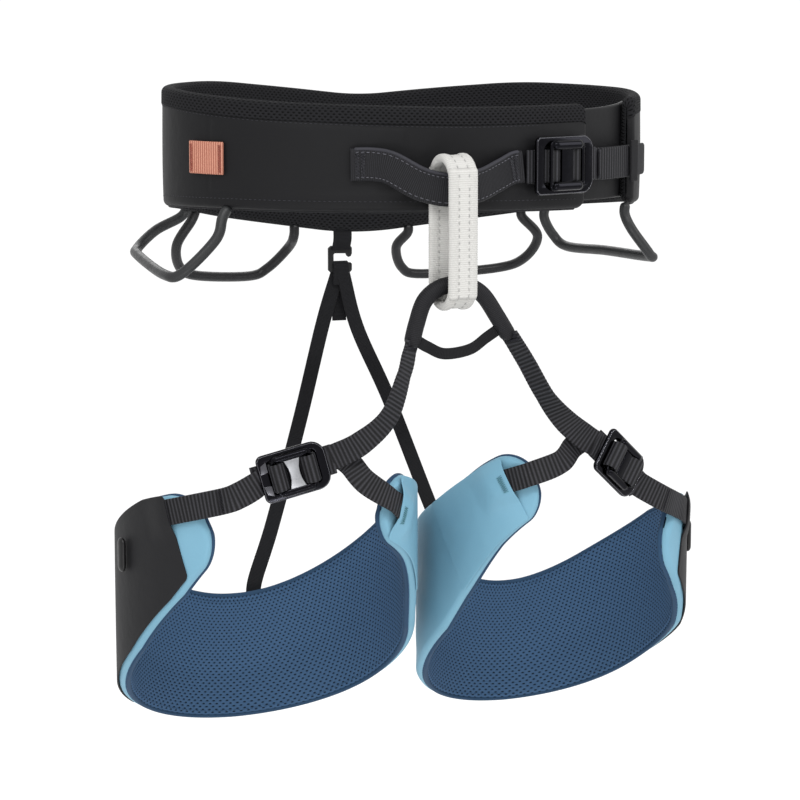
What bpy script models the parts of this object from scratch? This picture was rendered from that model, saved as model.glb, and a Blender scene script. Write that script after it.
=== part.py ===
"""Sport climbing harness: padded waist belt, tie-in loops, belay loop, gear loops and two leg loops.

Lengths are in metres, +Z is up. The origin is the middle of the waist opening, the front of the
belt faces -Y and +X is the side that carries the waist buckle's free tail.
"""

import math

import bpy
import numpy as np

MM = 0.001

# Waist belt: its plan is an ellipse, measured at the middle of its thickness.
WAIST_HALF_WIDTH = 153.0 * MM
WAIST_HALF_DEPTH = 103.0 * MM
# The loose points below are written for a belt of this half width and depth, and move with its sides, front and rear.
DRAWN_WIDTH = 153.0 * MM
DRAWN_DEPTH = 103.0 * MM
WAIST_SIDE_SHIFT = 3.0 * MM
LINING_THICKNESS = 2.8 * MM
FOAM_THICKNESS = 3.8 * MM
SHELL_THICKNESS = 1.8 * MM
CLEARANCE = 0.3 * MM
# Heights of the belt's two edges, as (degrees from the front, height).
WAIST_TOP = ((0, 36), (45, 38), (90, 43.5), (135, 45), (158, 40), (180, 34))
WAIST_BOTTOM = ((0, -27), (60, -28), (90, -30), (120, -36), (145, -46), (180, -59))
WAIST_LEFT_LIFT = 5.0 * MM
WAIST_WING_END = 36.0
WAIST_BODY_END = 60.0
TONGUE_SPAN = (74.0, 18.0)
TONGUE_THICKNESS = 4.0 * MM
BELT_STEPS = 58

# Webbing.
WEBBING_WIDTH = 20.0 * MM
WEBBING_THICKNESS = 2.0 * MM
LEG_WEBBING_WIDTH = 16.0 * MM
TIE_IN_WIDTH = 20.0 * MM
TIE_IN_THICKNESS = 3.6 * MM
BELAY_WIDTH = 19.0 * MM
BELAY_THICKNESS = 5.0 * MM
BELAY_HEIGHT = 94.0 * MM
BELAY_DEPTH = 31.0 * MM
# The loose points below are written for a belay loop of this height, and hang lower on a longer one.
DRAWN_BELAY_HEIGHT = 94.0 * MM
BELAY_LONGER = BELAY_HEIGHT - DRAWN_BELAY_HEIGHT
ARCH_RADIUS = 5.2 * MM
RISER_WIDTH = 10.0 * MM
RISER_THICKNESS = 1.6 * MM

# Leg loops: each is a band on an upright elliptic cylinder, higher at the front.
# Each side hangs in its own way, so the sizes come in pairs for side -1 and side 1.
LEG_CENTRE_X = {-1: 98.5 * MM, 1: 94.0 * MM}
LEG_CENTRE_Y = -29.0 * MM - (WAIST_HALF_DEPTH - DRAWN_DEPTH)
LEG_HALF_WIDTH = {-1: 91.0 * MM, 1: 83.5 * MM}
LEG_HALF_DEPTH = {-1: 87.0 * MM, 1: 89.0 * MM}
LEG_MID_HEIGHT = {-1: -263.0 * MM - BELAY_LONGER, 1: -266.0 * MM - BELAY_LONGER}
LEG_RISE = {-1: 69.0 * MM, 1: 71.0 * MM}
LEG_INNER_RISE = {-1: 2.0 * MM, 1: 13.0 * MM}
LEG_OUTER_RISE = {-1: 0.0 * MM, 1: -17.0 * MM}
LEG_FLARE = 0.15
FLARE_SPAN = 45.0
LEG_OUTER_TIP = -38.0
LEG_INNER_TIP = 28.0
LEG_REAR_WIDTH = 83.0 * MM
LEG_SIDE_WIDTH = 64.0 * MM
LEG_TIP_WIDTH = 40.0 * MM
LEG_STEPS = 40
COVER_SPAN = (-57.0, -140.0)
COVER_THICKNESS = 1.4 * MM
STRAP_LANDING = (-46.0, -54.0)
CROTCH_LANDING = {-1: (29.5, 36.0), 1: (30.0, 42.0)}
CROTCH_LIFT = 1.5 * MM
TOGGLE_PLACE = -79.0
RISER_LANDING = {-1: 170.0, 1: 159.0}

# Hardware.
GEAR_LOOP_RADIUS = 3.4 * MM
BUCKLE_LENGTH = 45.0 * MM
BUCKLE_HEIGHT = 36.0 * MM
BUCKLE_PLATE = 3.0 * MM
LEG_BUCKLE_LENGTH = 42.0 * MM
LEG_BUCKLE_HEIGHT = 30.0 * MM
WINDOW_SHARE = 0.66
SLIDER_PLATE = 2.4 * MM
TOGGLE_PLATE = 4.4 * MM

BLACK_FABRIC = (0.018, 0.018, 0.021)
BLACK_WEB = (0.012, 0.012, 0.014)
BLUE_MESH = (0.045, 0.115, 0.24)
BLUE_SHELL = (0.16, 0.38, 0.50)
CORAL = (0.75, 0.24, 0.15)
WHITE_WEB = (0.82, 0.82, 0.80)
GREY_PLASTIC = (0.035, 0.035, 0.04)
BUCKLE_BLACK = (0.006, 0.006, 0.007)


def material(name, colour, roughness, metallic=0.0):
    """A Principled material, made once for each name."""
    found = bpy.data.materials.get(name)
    if found:
        return found
    made = bpy.data.materials.new(name)
    made.use_nodes = True
    shader = made.node_tree.nodes["Principled BSDF"]
    shader.inputs["Base Color"].default_value = (*colour, 1.0)
    shader.inputs["Roughness"].default_value = roughness
    shader.inputs["Metallic"].default_value = metallic
    return made


def mm(*points):
    """Points written in millimetres, as metres."""
    return np.array(points, dtype=float) * MM


def front_of(*points):
    """Points that move with the belt's front, and hang from the belay loop."""
    return mm(*points) - np.array((0.0, WAIST_HALF_DEPTH - DRAWN_DEPTH, BELAY_LONGER))


def rear_of(*points):
    """Points that move with the belt's rear."""
    return mm(*points) + np.array((0.0, WAIST_HALF_DEPTH - DRAWN_DEPTH, 0.0))


def beside(*points):
    """Points beside the belt, which spread as it gets wider or deeper."""
    return mm(*points) * np.array((WAIST_HALF_WIDTH / DRAWN_WIDTH, WAIST_HALF_DEPTH / DRAWN_DEPTH, 1.0))


def riser_route(*points):
    """A path from the belt's rear down to a leg loop."""
    deeper = np.array((1.0, 1.0, -0.2, -1.0)) * (WAIST_HALF_DEPTH - DRAWN_DEPTH)
    lower = np.array((0.0, 0.0, 0.5, 1.0)) * BELAY_LONGER
    return mm(*points) + np.stack([0 * deeper, deeper, -lower], axis=1)


def curve_through(points, steps, closed=False):
    """A Catmull-Rom curve through the points, as evenly spaced places along its length."""
    points = np.asarray(points, dtype=float)
    count = len(points)
    if closed:
        padded = np.vstack([points[-1], points, points[:2]])
        spans = count
    else:
        padded = np.vstack([2 * points[0] - points[1], points, 2 * points[-1] - points[-2]])
        spans = count - 1
    fine = []
    for span in range(spans):
        a, b, c, d = padded[span:span + 4]
        for t in np.linspace(0.0, 1.0, 24, endpoint=False):
            linear = (c - a) * t
            square = (2 * a - 5 * b + 4 * c - d) * t ** 2
            cube = (-a + 3 * b - 3 * c + d) * t ** 3
            fine.append(0.5 * (2 * b + linear + square + cube))
    fine.append(points[0] if closed else points[-1])
    fine = np.array(fine)
    reach = np.concatenate([[0.0], np.cumsum(np.linalg.norm(np.diff(fine, axis=0), axis=1))])
    wanted = np.linspace(0.0, reach[-1], steps + 1)
    even = np.stack([np.interp(wanted, reach, fine[:, axis]) for axis in range(3)], axis=1)
    return even[:-1] if closed else even


def place(name, mesh, finish, pivot=(0.0, 0.0, 0.0)):
    """An object for the mesh, with its origin moved to the pivot."""
    pivot = np.asarray(pivot, dtype=float)
    points = np.empty(len(mesh.vertices) * 3)
    mesh.vertices.foreach_get("co", points)
    points = points.reshape(-1, 3) - pivot
    mesh.vertices.foreach_set("co", points.ravel())
    mesh.materials.append(finish)
    mesh.update()
    made = bpy.data.objects.new(name, mesh)
    made.location = pivot
    bpy.context.scene.collection.objects.link(made)
    return made


def sheet(name, grid, thickness, finish, closed=False, pivot=(0.0, 0.0, 0.0)):
    """A grid of points (along, across, xyz) given a thickness, half to each side."""
    along, across = grid.shape[:2]
    faces = []
    for i in range(along if closed else along - 1):
        for j in range(across - 1):
            following = (i + 1) % along
            faces.append((i * across + j, following * across + j,
                          following * across + j + 1, i * across + j + 1))
    mesh = bpy.data.meshes.new(name)
    mesh.from_pydata(grid.reshape(-1, 3).tolist(), [], faces)
    made = place(name, mesh, finish, pivot)
    mesh.shade_smooth()
    wall = made.modifiers.new("Thickness", "SOLIDIFY")
    wall.thickness = thickness
    wall.offset = 0.0
    return made


def strap(name, points, across, width, thickness, finish, steps=20, closed=False,
          pivot=(0.0, 0.0, 0.0)):
    """Flat webbing along a curve. across holds one sideways direction for each point."""
    line = curve_through(points, steps, closed)
    side = curve_through(across, steps, closed)
    ahead = np.gradient(line, axis=0)
    if closed:
        ahead = np.roll(line, -1, axis=0) - np.roll(line, 1, axis=0)
    ahead /= np.linalg.norm(ahead, axis=1)[:, None]
    side -= (side * ahead).sum(axis=1)[:, None] * ahead
    side /= np.linalg.norm(side, axis=1)[:, None]
    grid = np.stack([line - side * width / 2, line + side * width / 2], axis=1)
    return sheet(name, grid, thickness, finish, closed, pivot)


def rod(name, points, radius, finish, steps=28, corners=2, pivot=(0.0, 0.0, 0.0)):
    """A round bar along a curve, with filled ends."""
    line = curve_through(points, steps)
    pivot = np.asarray(pivot, dtype=float)
    curve = bpy.data.curves.new(name, "CURVE")
    curve.dimensions = "3D"
    curve.bevel_depth = radius
    curve.bevel_resolution = corners
    curve.use_fill_caps = True
    spline = curve.splines.new("POLY")
    spline.points.add(len(line) - 1)
    for spot, point in zip(spline.points, line - pivot):
        spot.co = (*point, 1.0)
    curve.materials.append(finish)
    made = bpy.data.objects.new(name, curve)
    made.location = pivot
    bpy.context.scene.collection.objects.link(made)
    return made


def rounded_outline(length, height, radius, corner_steps=4):
    """The corner points of a rectangle with round corners, anticlockwise."""
    points = []
    for turn, (x, y) in enumerate(((1, 1), (-1, 1), (-1, -1), (1, -1))):
        for step in range(corner_steps + 1):
            angle = math.radians(90.0 * turn + 90.0 * step / corner_steps)
            points.append((x * (length / 2 - radius) + radius * math.cos(angle),
                           y * (height / 2 - radius) + radius * math.sin(angle)))
    return points


def plate(name, outlines, thickness, centre, right, up, finish, pivot=None):
    """A flat plate with holes. outlines[0] is its edge, the others are its holes."""
    curve = bpy.data.curves.new(name, "CURVE")
    curve.dimensions = "2D"
    curve.fill_mode = "BOTH"
    curve.extrude = thickness / 2
    for outline in outlines:
        spline = curve.splines.new("POLY")
        spline.points.add(len(outline) - 1)
        for spot, (x, y) in zip(spline.points, outline):
            spot.co = (x, y, 0.0, 1.0)
        spline.use_cyclic_u = True
    flat = bpy.data.objects.new(name + "_outline", curve)
    mesh = bpy.data.meshes.new_from_object(flat)
    bpy.data.objects.remove(flat)
    right = np.asarray(right, dtype=float) / np.linalg.norm(right)
    up = np.asarray(up, dtype=float)
    up = up - up.dot(right) * right
    up /= np.linalg.norm(up)
    out = np.cross(right, up)
    points = np.empty(len(mesh.vertices) * 3)
    mesh.vertices.foreach_get("co", points)
    points = points.reshape(-1, 3) @ np.stack([right, up, out]) + np.asarray(centre)
    mesh.vertices.foreach_set("co", points.ravel())
    return place(name, mesh, finish, centre if pivot is None else pivot)


def heights(table, degrees):
    """Heights read from a table of (degrees from the front, height), eased between its rows."""
    degrees = np.abs((np.asarray(degrees, dtype=float) + 180.0) % 360.0 - 180.0)
    stops = np.array([row[0] for row in table], dtype=float)
    levels = np.array([row[1] for row in table], dtype=float) * MM
    fine = np.linspace(0.0, 180.0, 181)
    rough = np.interp(fine, stops, levels)
    window = np.ones(15) / 15
    smooth = np.convolve(np.pad(rough, 7, mode="edge"), window, mode="valid")
    return np.interp(degrees, fine, smooth)


def on_belt(degrees, offset, height):
    """Points at these degrees from the front, this far outside the belt's middle surface."""
    angle = np.radians(np.asarray(degrees, dtype=float))
    east, south = np.sin(angle), -np.cos(angle)
    normal = np.stack([east / WAIST_HALF_WIDTH, south / WAIST_HALF_DEPTH], axis=-1)
    normal /= np.linalg.norm(normal, axis=-1)[..., None]
    x = WAIST_SIDE_SHIFT + WAIST_HALF_WIDTH * east + normal[..., 0] * offset
    y = WAIST_HALF_DEPTH * south + normal[..., 1] * offset
    return np.stack([x, y, np.broadcast_to(height, x.shape)], axis=-1)


def waist_lift(degrees):
    """The belt hangs a little higher on its left side."""
    return WAIST_LEFT_LIFT * (1.0 - np.sin(np.radians(degrees))) / 2


FOAM_PLACE = 0.0
LINING_PLACE = -(FOAM_THICKNESS + LINING_THICKNESS) / 2 - CLEARANCE
SHELL_PLACE = (FOAM_THICKNESS + SHELL_THICKNESS) / 2 + CLEARANCE
BELT_OUTSIDE = SHELL_PLACE + SHELL_THICKNESS / 2
BELT_INSIDE = LINING_PLACE - LINING_THICKNESS / 2


def belt_band(name, place_out, thickness, inset, finish, start, end, steps):
    """One layer of the belt from start to end degrees, its edges this far inside the outline."""
    degrees = np.linspace(start, end, steps + 1)
    low = heights(WAIST_BOTTOM, degrees) + waist_lift(degrees) + inset
    high = heights(WAIST_TOP, degrees) + waist_lift(degrees) - inset
    rows = []
    for share in (0.0, 0.5, 1.0):
        rows.append(on_belt(degrees, place_out, low + (high - low) * share))
    return sheet(name, np.stack(rows, axis=1), thickness, finish)


def waist_belt():
    """Three concentric layers that end at the buckle, and the other wing that slides under it."""
    start, end = WAIST_WING_END, WAIST_BODY_END - 360.0
    dark = material("stretch_shell", BLACK_FABRIC, 0.75)
    belt_band("waist_mesh_lining", LINING_PLACE, LINING_THICKNESS, 0.0,
              material("black_spacer_mesh", BLACK_FABRIC, 0.9), start, end, BELT_STEPS)
    belt_band("waist_foam", FOAM_PLACE, FOAM_THICKNESS, 3.0 * MM,
              material("foam", (0.05, 0.05, 0.05), 0.95), start, end, BELT_STEPS)
    belt_band("waist_shell", SHELL_PLACE, SHELL_THICKNESS, 1.0 * MM, dark, start, end, BELT_STEPS)
    under = BELT_INSIDE - CLEARANCE - TONGUE_THICKNESS / 2
    belt_band("waist_overlap_tongue", under, TONGUE_THICKNESS, 4.0 * MM, dark,
              *TONGUE_SPAN, 10)


def tie_in():
    """The upper tie-in webbing that leaves the belt and comes back to it beside the buckle."""
    lie = BELT_OUTSIDE + 2 * CLEARANCE + TIE_IN_THICKNESS / 2
    route = ((-25, lie, 5), (-20, lie, 5), (-16, lie + 4 * MM, 3), (-10, 17.5 * MM, -6),
             (-4.5, 23 * MM, -9.5), (2, 19.5 * MM, -8), (8, lie + 5 * MM, -3), (12.4, lie, 1),
             (15.2, lie, 2))
    points = [on_belt(degrees, offset, height * MM) for degrees, offset, height in route]
    up = np.tile((0.0, 0.0, 1.0), (len(points), 1))
    strap("upper_tie_in_webbing", points, up, TIE_IN_WIDTH, TIE_IN_THICKNESS,
          material("black_webbing", BLACK_WEB, 0.7), steps=24)


BELAY_CENTRE = front_of((-8.0, -127.5, -34.5))[0] + np.array((0.0, 0.0, BELAY_LONGER / 2))
BELAY_TURN = math.radians(8.0)


def belay_loop():
    """A long sewn ring that hangs over the upper tie-in webbing and holds the lower one."""
    half = (BELAY_DEPTH - BELAY_THICKNESS) / 2
    straight = BELAY_HEIGHT / 2 - BELAY_THICKNESS / 2 - half
    points = []
    for step in range(8):
        angle = math.pi * step / 7
        points.append((half * math.cos(angle), straight + half * math.sin(angle)))
    for step in range(8):
        angle = math.pi + math.pi * step / 7
        points.append((half * math.cos(angle), -straight + half * math.sin(angle)))
    depth = np.array((math.sin(BELAY_TURN), -math.cos(BELAY_TURN), 0.0))
    side = np.array((math.cos(BELAY_TURN), math.sin(BELAY_TURN), 0.0))
    ring = [BELAY_CENTRE + depth * out + np.array((0.0, 0.0, high)) for out, high in points]
    strap("belay_loop", ring, np.tile(side, (len(ring), 1)), BELAY_WIDTH, BELAY_THICKNESS,
          material("white_webbing", WHITE_WEB, 0.8), steps=36, closed=True, pivot=BELAY_CENTRE)


BRIDGE_PIVOT = front_of((-8.0, -127.5, -67.0))[0]


def lower_tie_in():
    """The padded arch inside the belay loop's lower end, and the strap across its feet."""
    web = material("black_webbing", BLACK_WEB, 0.7)
    rod("lower_tie_in_arch",
        front_of((-33, -123, -104), (-30, -124, -90), (-25, -126, -75), (-14, -127.5, -67),
           (0, -127.5, -67), (11, -127, -73), (21, -126, -87), (30, -124.5, -101)),
        ARCH_RADIUS, web, steps=22, corners=2, pivot=BRIDGE_PIVOT)
    strap("tie_in_cross_strap",
          front_of((-22.5, -124, -104), (-13, -127, -108), (3, -127, -106), (14.5, -125, -99.5)),
          mm((0, 0, 1), (0, 0, 1), (0, 0, 1), (0, 0, 1)), 7 * MM, WEBBING_THICKNESS, web,
          steps=8, pivot=BRIDGE_PIVOT)


def gear_loops():
    """Four moulded loops that hang from the belt's lower edge."""
    grey = material("grey_moulded_plastic", GREY_PLASTIC, 0.45)
    black = material("black_moulded_plastic", BLACK_WEB, 0.4)
    loops = (
        ("gear_loop_front_left", grey,
         beside((-132, -56, -29), (-137, -58, -42), (-157, -54, -62), (-165, -40, -64),
            (-168, 18, -58), (-163, 43, -56), (-148, 55, -46), (-131, 57, -38))),
        ("gear_loop_front_right", grey,
         beside((134, -53, -34), (138, -56, -44), (151, -54, -60), (155, -43, -63),
            (147, 10, -64), (136, 52, -65), (130, 63, -58), (123, 62, -46))),
        ("gear_loop_rear_left", black,
         beside((-122, 64, -41), (-130, 73, -58), (-125, 86, -74), (-111, 95, -81),
            (-70, 116, -85), (-56, 118, -80), (-44, 110, -66), (-43, 99, -57))),
        ("gear_loop_rear_right", black,
         beside((111, 73, -46), (124, 77, -60), (119, 89, -76), (103, 103, -84),
            (54, 119, -88), (40, 119, -83), (33, 110, -68), (38, 100, -57))),
    )
    for name, finish, points in loops:
        rod(name, points, GEAR_LOOP_RADIUS, finish, steps=26, corners=2,
            pivot=(points[0] + points[-1]) / 2)


def ladder(length, height, radius, windows):
    """A buckle's edge, then its windows as (x, length, height) beside each other."""
    outlines = [rounded_outline(length, height, radius)]
    for x, wide, tall in windows:
        hole = rounded_outline(wide, tall, 1.5 * MM, 2)
        outlines.append([(x + u, v) for u, v in hole])
    return outlines


def buckle(name, length, height, centre, right, up):
    """A frame with one window, and the slider plate that grips the webbing in front of it."""
    gloss = material("anodised_aluminium", BUCKLE_BLACK, 0.25, 0.6)
    centre = np.asarray(centre)
    right = np.asarray(right, dtype=float) / np.linalg.norm(right)
    up = np.asarray(up, dtype=float)
    up = up - up.dot(right) * right
    up /= np.linalg.norm(up)
    out = np.cross(right, up)
    window = height * WINDOW_SHARE
    plate(f"{name}_frame", ladder(length, height, 6.5 * MM, ((0.0, length * 0.70, window),)),
          BUCKLE_PLATE, centre, right, up, gloss)
    raised = centre + out * (BUCKLE_PLATE / 2 + SLIDER_PLATE / 2 + CLEARANCE)
    share = 0.60
    gap = length * share * 0.27
    windows = ((-length * share * 0.22, gap, window * 0.84), (length * share * 0.22, gap, window * 0.84))
    hinge = raised - right * length * share / 2
    plate(f"{name}_slider", ladder(length * share, height * 0.86, 3.5 * MM, windows),
          SLIDER_PLATE, raised, right, up, gloss, pivot=hinge)


WAIST_BUCKLE_DEGREES = 26.0
WAIST_BUCKLE_OUT = BELT_OUTSIDE + WEBBING_THICKNESS + 2 * CLEARANCE + BUCKLE_PLATE / 2 + 1.2 * MM


def belt_frame(degrees):
    """The belt's sideways and upward directions at these degrees."""
    ahead = on_belt(degrees + 0.5, 0.0, 0.0) - on_belt(degrees - 0.5, 0.0, 0.0)
    return ahead / np.linalg.norm(ahead), np.array((0.0, 0.0, 1.0))


def waist_fastening():
    """The waist buckle, its webbing, the tail with its fold, the keeper and the coral tab."""
    web = material("black_webbing", BLACK_WEB, 0.7)
    right, up = belt_frame(WAIST_BUCKLE_DEGREES)
    centre = on_belt(WAIST_BUCKLE_DEGREES, WAIST_BUCKLE_OUT, 2.0 * MM)
    buckle("waist_buckle", BUCKLE_LENGTH, BUCKLE_HEIGHT, centre, right, up)
    low = BELT_OUTSIDE + CLEARANCE + WEBBING_THICKNESS / 2
    inner = [on_belt(d, low, 1.0 * MM) for d in np.linspace(16.6, 62.0, 8)]
    strap("waist_strap_run", inner, np.tile(up, (8, 1)), WEBBING_WIDTH, WEBBING_THICKNESS, web,
          steps=14)
    high = low + WEBBING_THICKNESS + CLEARANCE
    outer = [on_belt(d, high, 1.0 * MM) for d in np.linspace(38.5, 66.0, 6)]
    strap("waist_strap_tail", outer, np.tile(up, (6, 1)), WEBBING_WIDTH, WEBBING_THICKNESS, web,
          steps=10)
    keeper_out = high + WEBBING_THICKNESS + CLEARANCE
    keeper = [on_belt(d, keeper_out, 1.0 * MM) for d in np.linspace(52.0, 56.0, 3)]
    strap("waist_strap_keeper", keeper, np.tile(up, (3, 1)), WEBBING_WIDTH + 6 * MM, 1.6 * MM,
          material("rubber_keeper", BLACK_WEB, 0.6), steps=3)
    tab_out = BELT_OUTSIDE + CLEARANCE + WEBBING_THICKNESS / 2 + 0.6 * MM
    tab = [on_belt(d, tab_out, 7.5 * MM) for d in np.linspace(-71.0, -58.5, 5)]
    strap("coral_clip_tab", tab, np.tile(up, (5, 1)), WEBBING_WIDTH, WEBBING_THICKNESS,
          material("coral_webbing", CORAL, 0.7), steps=6)


def eased(share):
    """A smooth step from 0 to 1."""
    share = np.clip(share, 0.0, 1.0)
    return share ** 2 * (3.0 - 2.0 * share)


def inner_share(degrees):
    """1 at the inner tip, falling to 0 within the flare's span."""
    degrees = np.asarray(degrees, dtype=float) % 360.0
    return eased((LEG_INNER_TIP + FLARE_SPAN - degrees) / FLARE_SPAN)


def outer_share(degrees):
    """1 at the outer tip, falling to 0 on the way to the rear."""
    degrees = np.asarray(degrees, dtype=float) % 360.0
    return eased((degrees - (360.0 + LEG_OUTER_TIP - 2 * FLARE_SPAN)) / (2 * FLARE_SPAN))


def leg_point(side, degrees, height, offset=0.0):
    """A point on a leg loop. Degrees run from the front towards the body's middle."""
    angle = np.radians(np.asarray(degrees, dtype=float))
    flare = 1.0 + LEG_FLARE * inner_share(degrees)
    x = LEG_HALF_WIDTH[side] * np.sin(angle) * flare + offset * np.sin(angle)
    y = -LEG_HALF_DEPTH[side] * np.cos(angle) * flare - offset * np.cos(angle)
    return np.stack([side * (LEG_CENTRE_X[side] - x), LEG_CENTRE_Y + y,
                     np.broadcast_to(height, x.shape)], axis=-1)


def leg_middle(side, degrees):
    """The height of the band's middle line, highest at the front."""
    level = LEG_MID_HEIGHT[side] + LEG_RISE[side] * np.cos(np.radians(degrees))
    level = level + LEG_INNER_RISE[side] * inner_share(degrees)
    return level + LEG_OUTER_RISE[side] * outer_share(degrees)


def leg_ahead(side, degrees, offset):
    """The direction in which the degrees grow, along a leg loop."""
    step = leg_point(side, degrees + 1.0, 0.0, offset) - leg_point(side, degrees - 1.0, 0.0, offset)
    return step / np.linalg.norm(step)


def leg_width(degrees):
    """The band's width measured upright: narrow at its tips, wide at the rear."""
    stops = np.array((-332.0, -310.0, -270.0, -180.0, -90.0, -60.0, -38.0))
    sizes = np.array((LEG_TIP_WIDTH, 0.6 * LEG_TIP_WIDTH + 0.4 * LEG_SIDE_WIDTH,
                      LEG_SIDE_WIDTH * 1.25, LEG_REAR_WIDTH, LEG_SIDE_WIDTH * 1.25,
                      LEG_SIDE_WIDTH, LEG_TIP_WIDTH))
    return np.interp(degrees, stops, sizes)


def leg_band(name, side, offset, thickness, inset, finish, start, end, steps, pivot):
    """One layer of a leg loop between two angles."""
    degrees = np.linspace(start, end, steps + 1)
    middle = leg_middle(side, degrees)
    half = leg_width(degrees) / 2 - inset
    rows = [leg_point(side, degrees, middle + half * share, offset) for share in (-1.0, 0.0, 1.0)]
    grid = np.stack(rows, axis=1)
    if side > 0:
        grid = grid[::-1]
    return sheet(name, grid, thickness, finish, pivot=pivot)


def leg_loop(word, side, pivot):
    """Lining, foam and shell of one leg loop, and the cover on its outer thigh."""
    start, end = LEG_OUTER_TIP, LEG_INNER_TIP - 360.0
    lining = material("blue_spacer_mesh", BLUE_MESH, 0.9)
    shell = material("blue_shell", BLUE_SHELL, 0.7)
    foam = material("foam", (0.05, 0.05, 0.05), 0.95)
    black = material("stretch_shell", BLACK_FABRIC, 0.75)
    leg_band(f"leg_lining_{word}", side, LINING_PLACE, LINING_THICKNESS, 0.0, lining,
             start, end, LEG_STEPS, pivot)
    leg_band(f"leg_foam_{word}", side, FOAM_PLACE, FOAM_THICKNESS, 3.0 * MM, foam,
             start, end, LEG_STEPS, pivot)
    leg_band(f"leg_shell_{word}", side, SHELL_PLACE, SHELL_THICKNESS, 1.0 * MM, shell,
             start, end, LEG_STEPS, pivot)
    out = BELT_OUTSIDE + CLEARANCE + COVER_THICKNESS / 2
    leg_band(f"leg_cover_{word}", side, out, COVER_THICKNESS, 0.5 * MM, black,
             COVER_SPAN[0], COVER_SPAN[1], 12, pivot)


def landing(side, places, levels, offset):
    """The points where a strap lies flat on a leg loop."""
    return [leg_point(side, degrees, level * MM - BELAY_LONGER, offset)
            for degrees, level in zip(places, levels)]


LEG_PIVOT = {"left": front_of((-33.0, -123.0, -106.0))[0], "right": front_of((31.0, -124.0, -103.0))[0]}


def leg_straps(word, side, pivot):
    """The webbing that joins the tie-in arch, the leg buckle and the leg loop's two tips."""
    web = material("black_webbing", BLACK_WEB, 0.7)
    lie = BELT_OUTSIDE + 3 * CLEARANCE + WEBBING_THICKNESS / 2
    if word == "left":
        front = front_of((-34, -122.6, -107.5), (-38, -125, -120), (-49, -130, -144), (-66, -127, -160),
                   (-83, -121.5, -169))
        front_side = ((1.0, 0.9, 0.2), (1.0, 0.8, 0.1), (0.9, 0.2, -0.5), (0.5, 0.0, -0.85),
                      (0.3, 0.0, -0.95))
        buckle_centre = front_of((-106, -121, -176))[0]
        buckle_right = (0.96, -0.14, 0.26)
        crotch = front_of((-70, -119, -174), (-62.5, -126, -184))
        crotch_levels = (-197.5, -207)
        crotch_turn = (0.85, 0.5)
        outer = front_of((-129, -118.0, -184), (-138, -116.5, -189), (-147, -112.5, -193))
        outer_levels = (-200.5, -204)
        outer_side = (0.18, 0.1, 1.0)
    else:
        front = front_of((33.5, -124.5, -104.5), (40, -127, -116), (50.5, -131, -136), (64, -130, -152),
                   (79, -127, -164))
        front_side = ((0.4, -1.0, 0.2), (0.4, -1.0, 0.25), (0.6, -0.6, 0.5), (0.7, 0.0, 0.75),
                      (0.6, 0.0, 0.8))
        buckle_centre = front_of((104, -122, -183))[0]
        buckle_right = (0.70, 0.36, -0.62)
        crotch = front_of((72, -123, -170.5), (62, -128, -178.5))
        crotch_levels = (-186, -194)
        crotch_turn = (0.65, 0.75)
        outer = front_of((121, -113.5, -198.5), (130, -114.0, -204), (139, -111.5, -209))
        outer_levels = (-219, -225)
        outer_side = (0.4, 0.15, 1.0)
    outer = np.vstack([outer, *landing(side, STRAP_LANDING, outer_levels, lie)])
    crotch = np.vstack([crotch, *landing(side, CROTCH_LANDING[side], crotch_levels,
                                         lie + CROTCH_LIFT)])
    upright = ((0.0, 0.0, 1.0), (0.0, 0.0, 1.0))
    along, rise = crotch_turn
    flat = leg_ahead(side, CROTCH_LANDING[side][1], lie) * along + np.array((0.0, 0.0, rise))
    free = (-side * along, 0.0, rise)
    outer_sides = (outer_side, outer_side, outer_side, *upright)
    strap(f"front_webbing_{word}", front, front_side, LEG_WEBBING_WIDTH, WEBBING_THICKNESS, web,
          steps=16, pivot=pivot)
    strap(f"crotch_strap_{word}", crotch, (free, free, flat, flat), LEG_WEBBING_WIDTH,
          WEBBING_THICKNESS, web, steps=8, pivot=pivot)
    strap(f"leg_strap_{word}", outer, outer_sides, LEG_WEBBING_WIDTH,
          WEBBING_THICKNESS, web, steps=12, pivot=pivot)
    buckle(f"leg_buckle_{word}", LEG_BUCKLE_LENGTH, LEG_BUCKLE_HEIGHT, buckle_centre,
           buckle_right, (0.0, 0.0, 1.0))


def toggle(word, side):
    """The small slider that gathers the elastic at the outer thigh."""
    out = BELT_OUTSIDE + COVER_THICKNESS + 2 * CLEARANCE + TOGGLE_PLATE / 2
    centre = leg_point(side, TOGGLE_PLACE, leg_middle(side, TOGGLE_PLACE) + 14 * MM, out)
    along = leg_ahead(side, TOGGLE_PLACE, out) * -side
    plate(f"adjuster_toggle_{word}", [rounded_outline(8 * MM, 22 * MM, 2.5 * MM)], TOGGLE_PLATE,
          centre, along, (0.0, 0.0, 1.0), material("black_moulded_plastic", BLACK_WEB, 0.4))


HOOK_CENTRE = rear_of((-8.0, 104.0, -68.0))[0]


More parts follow.
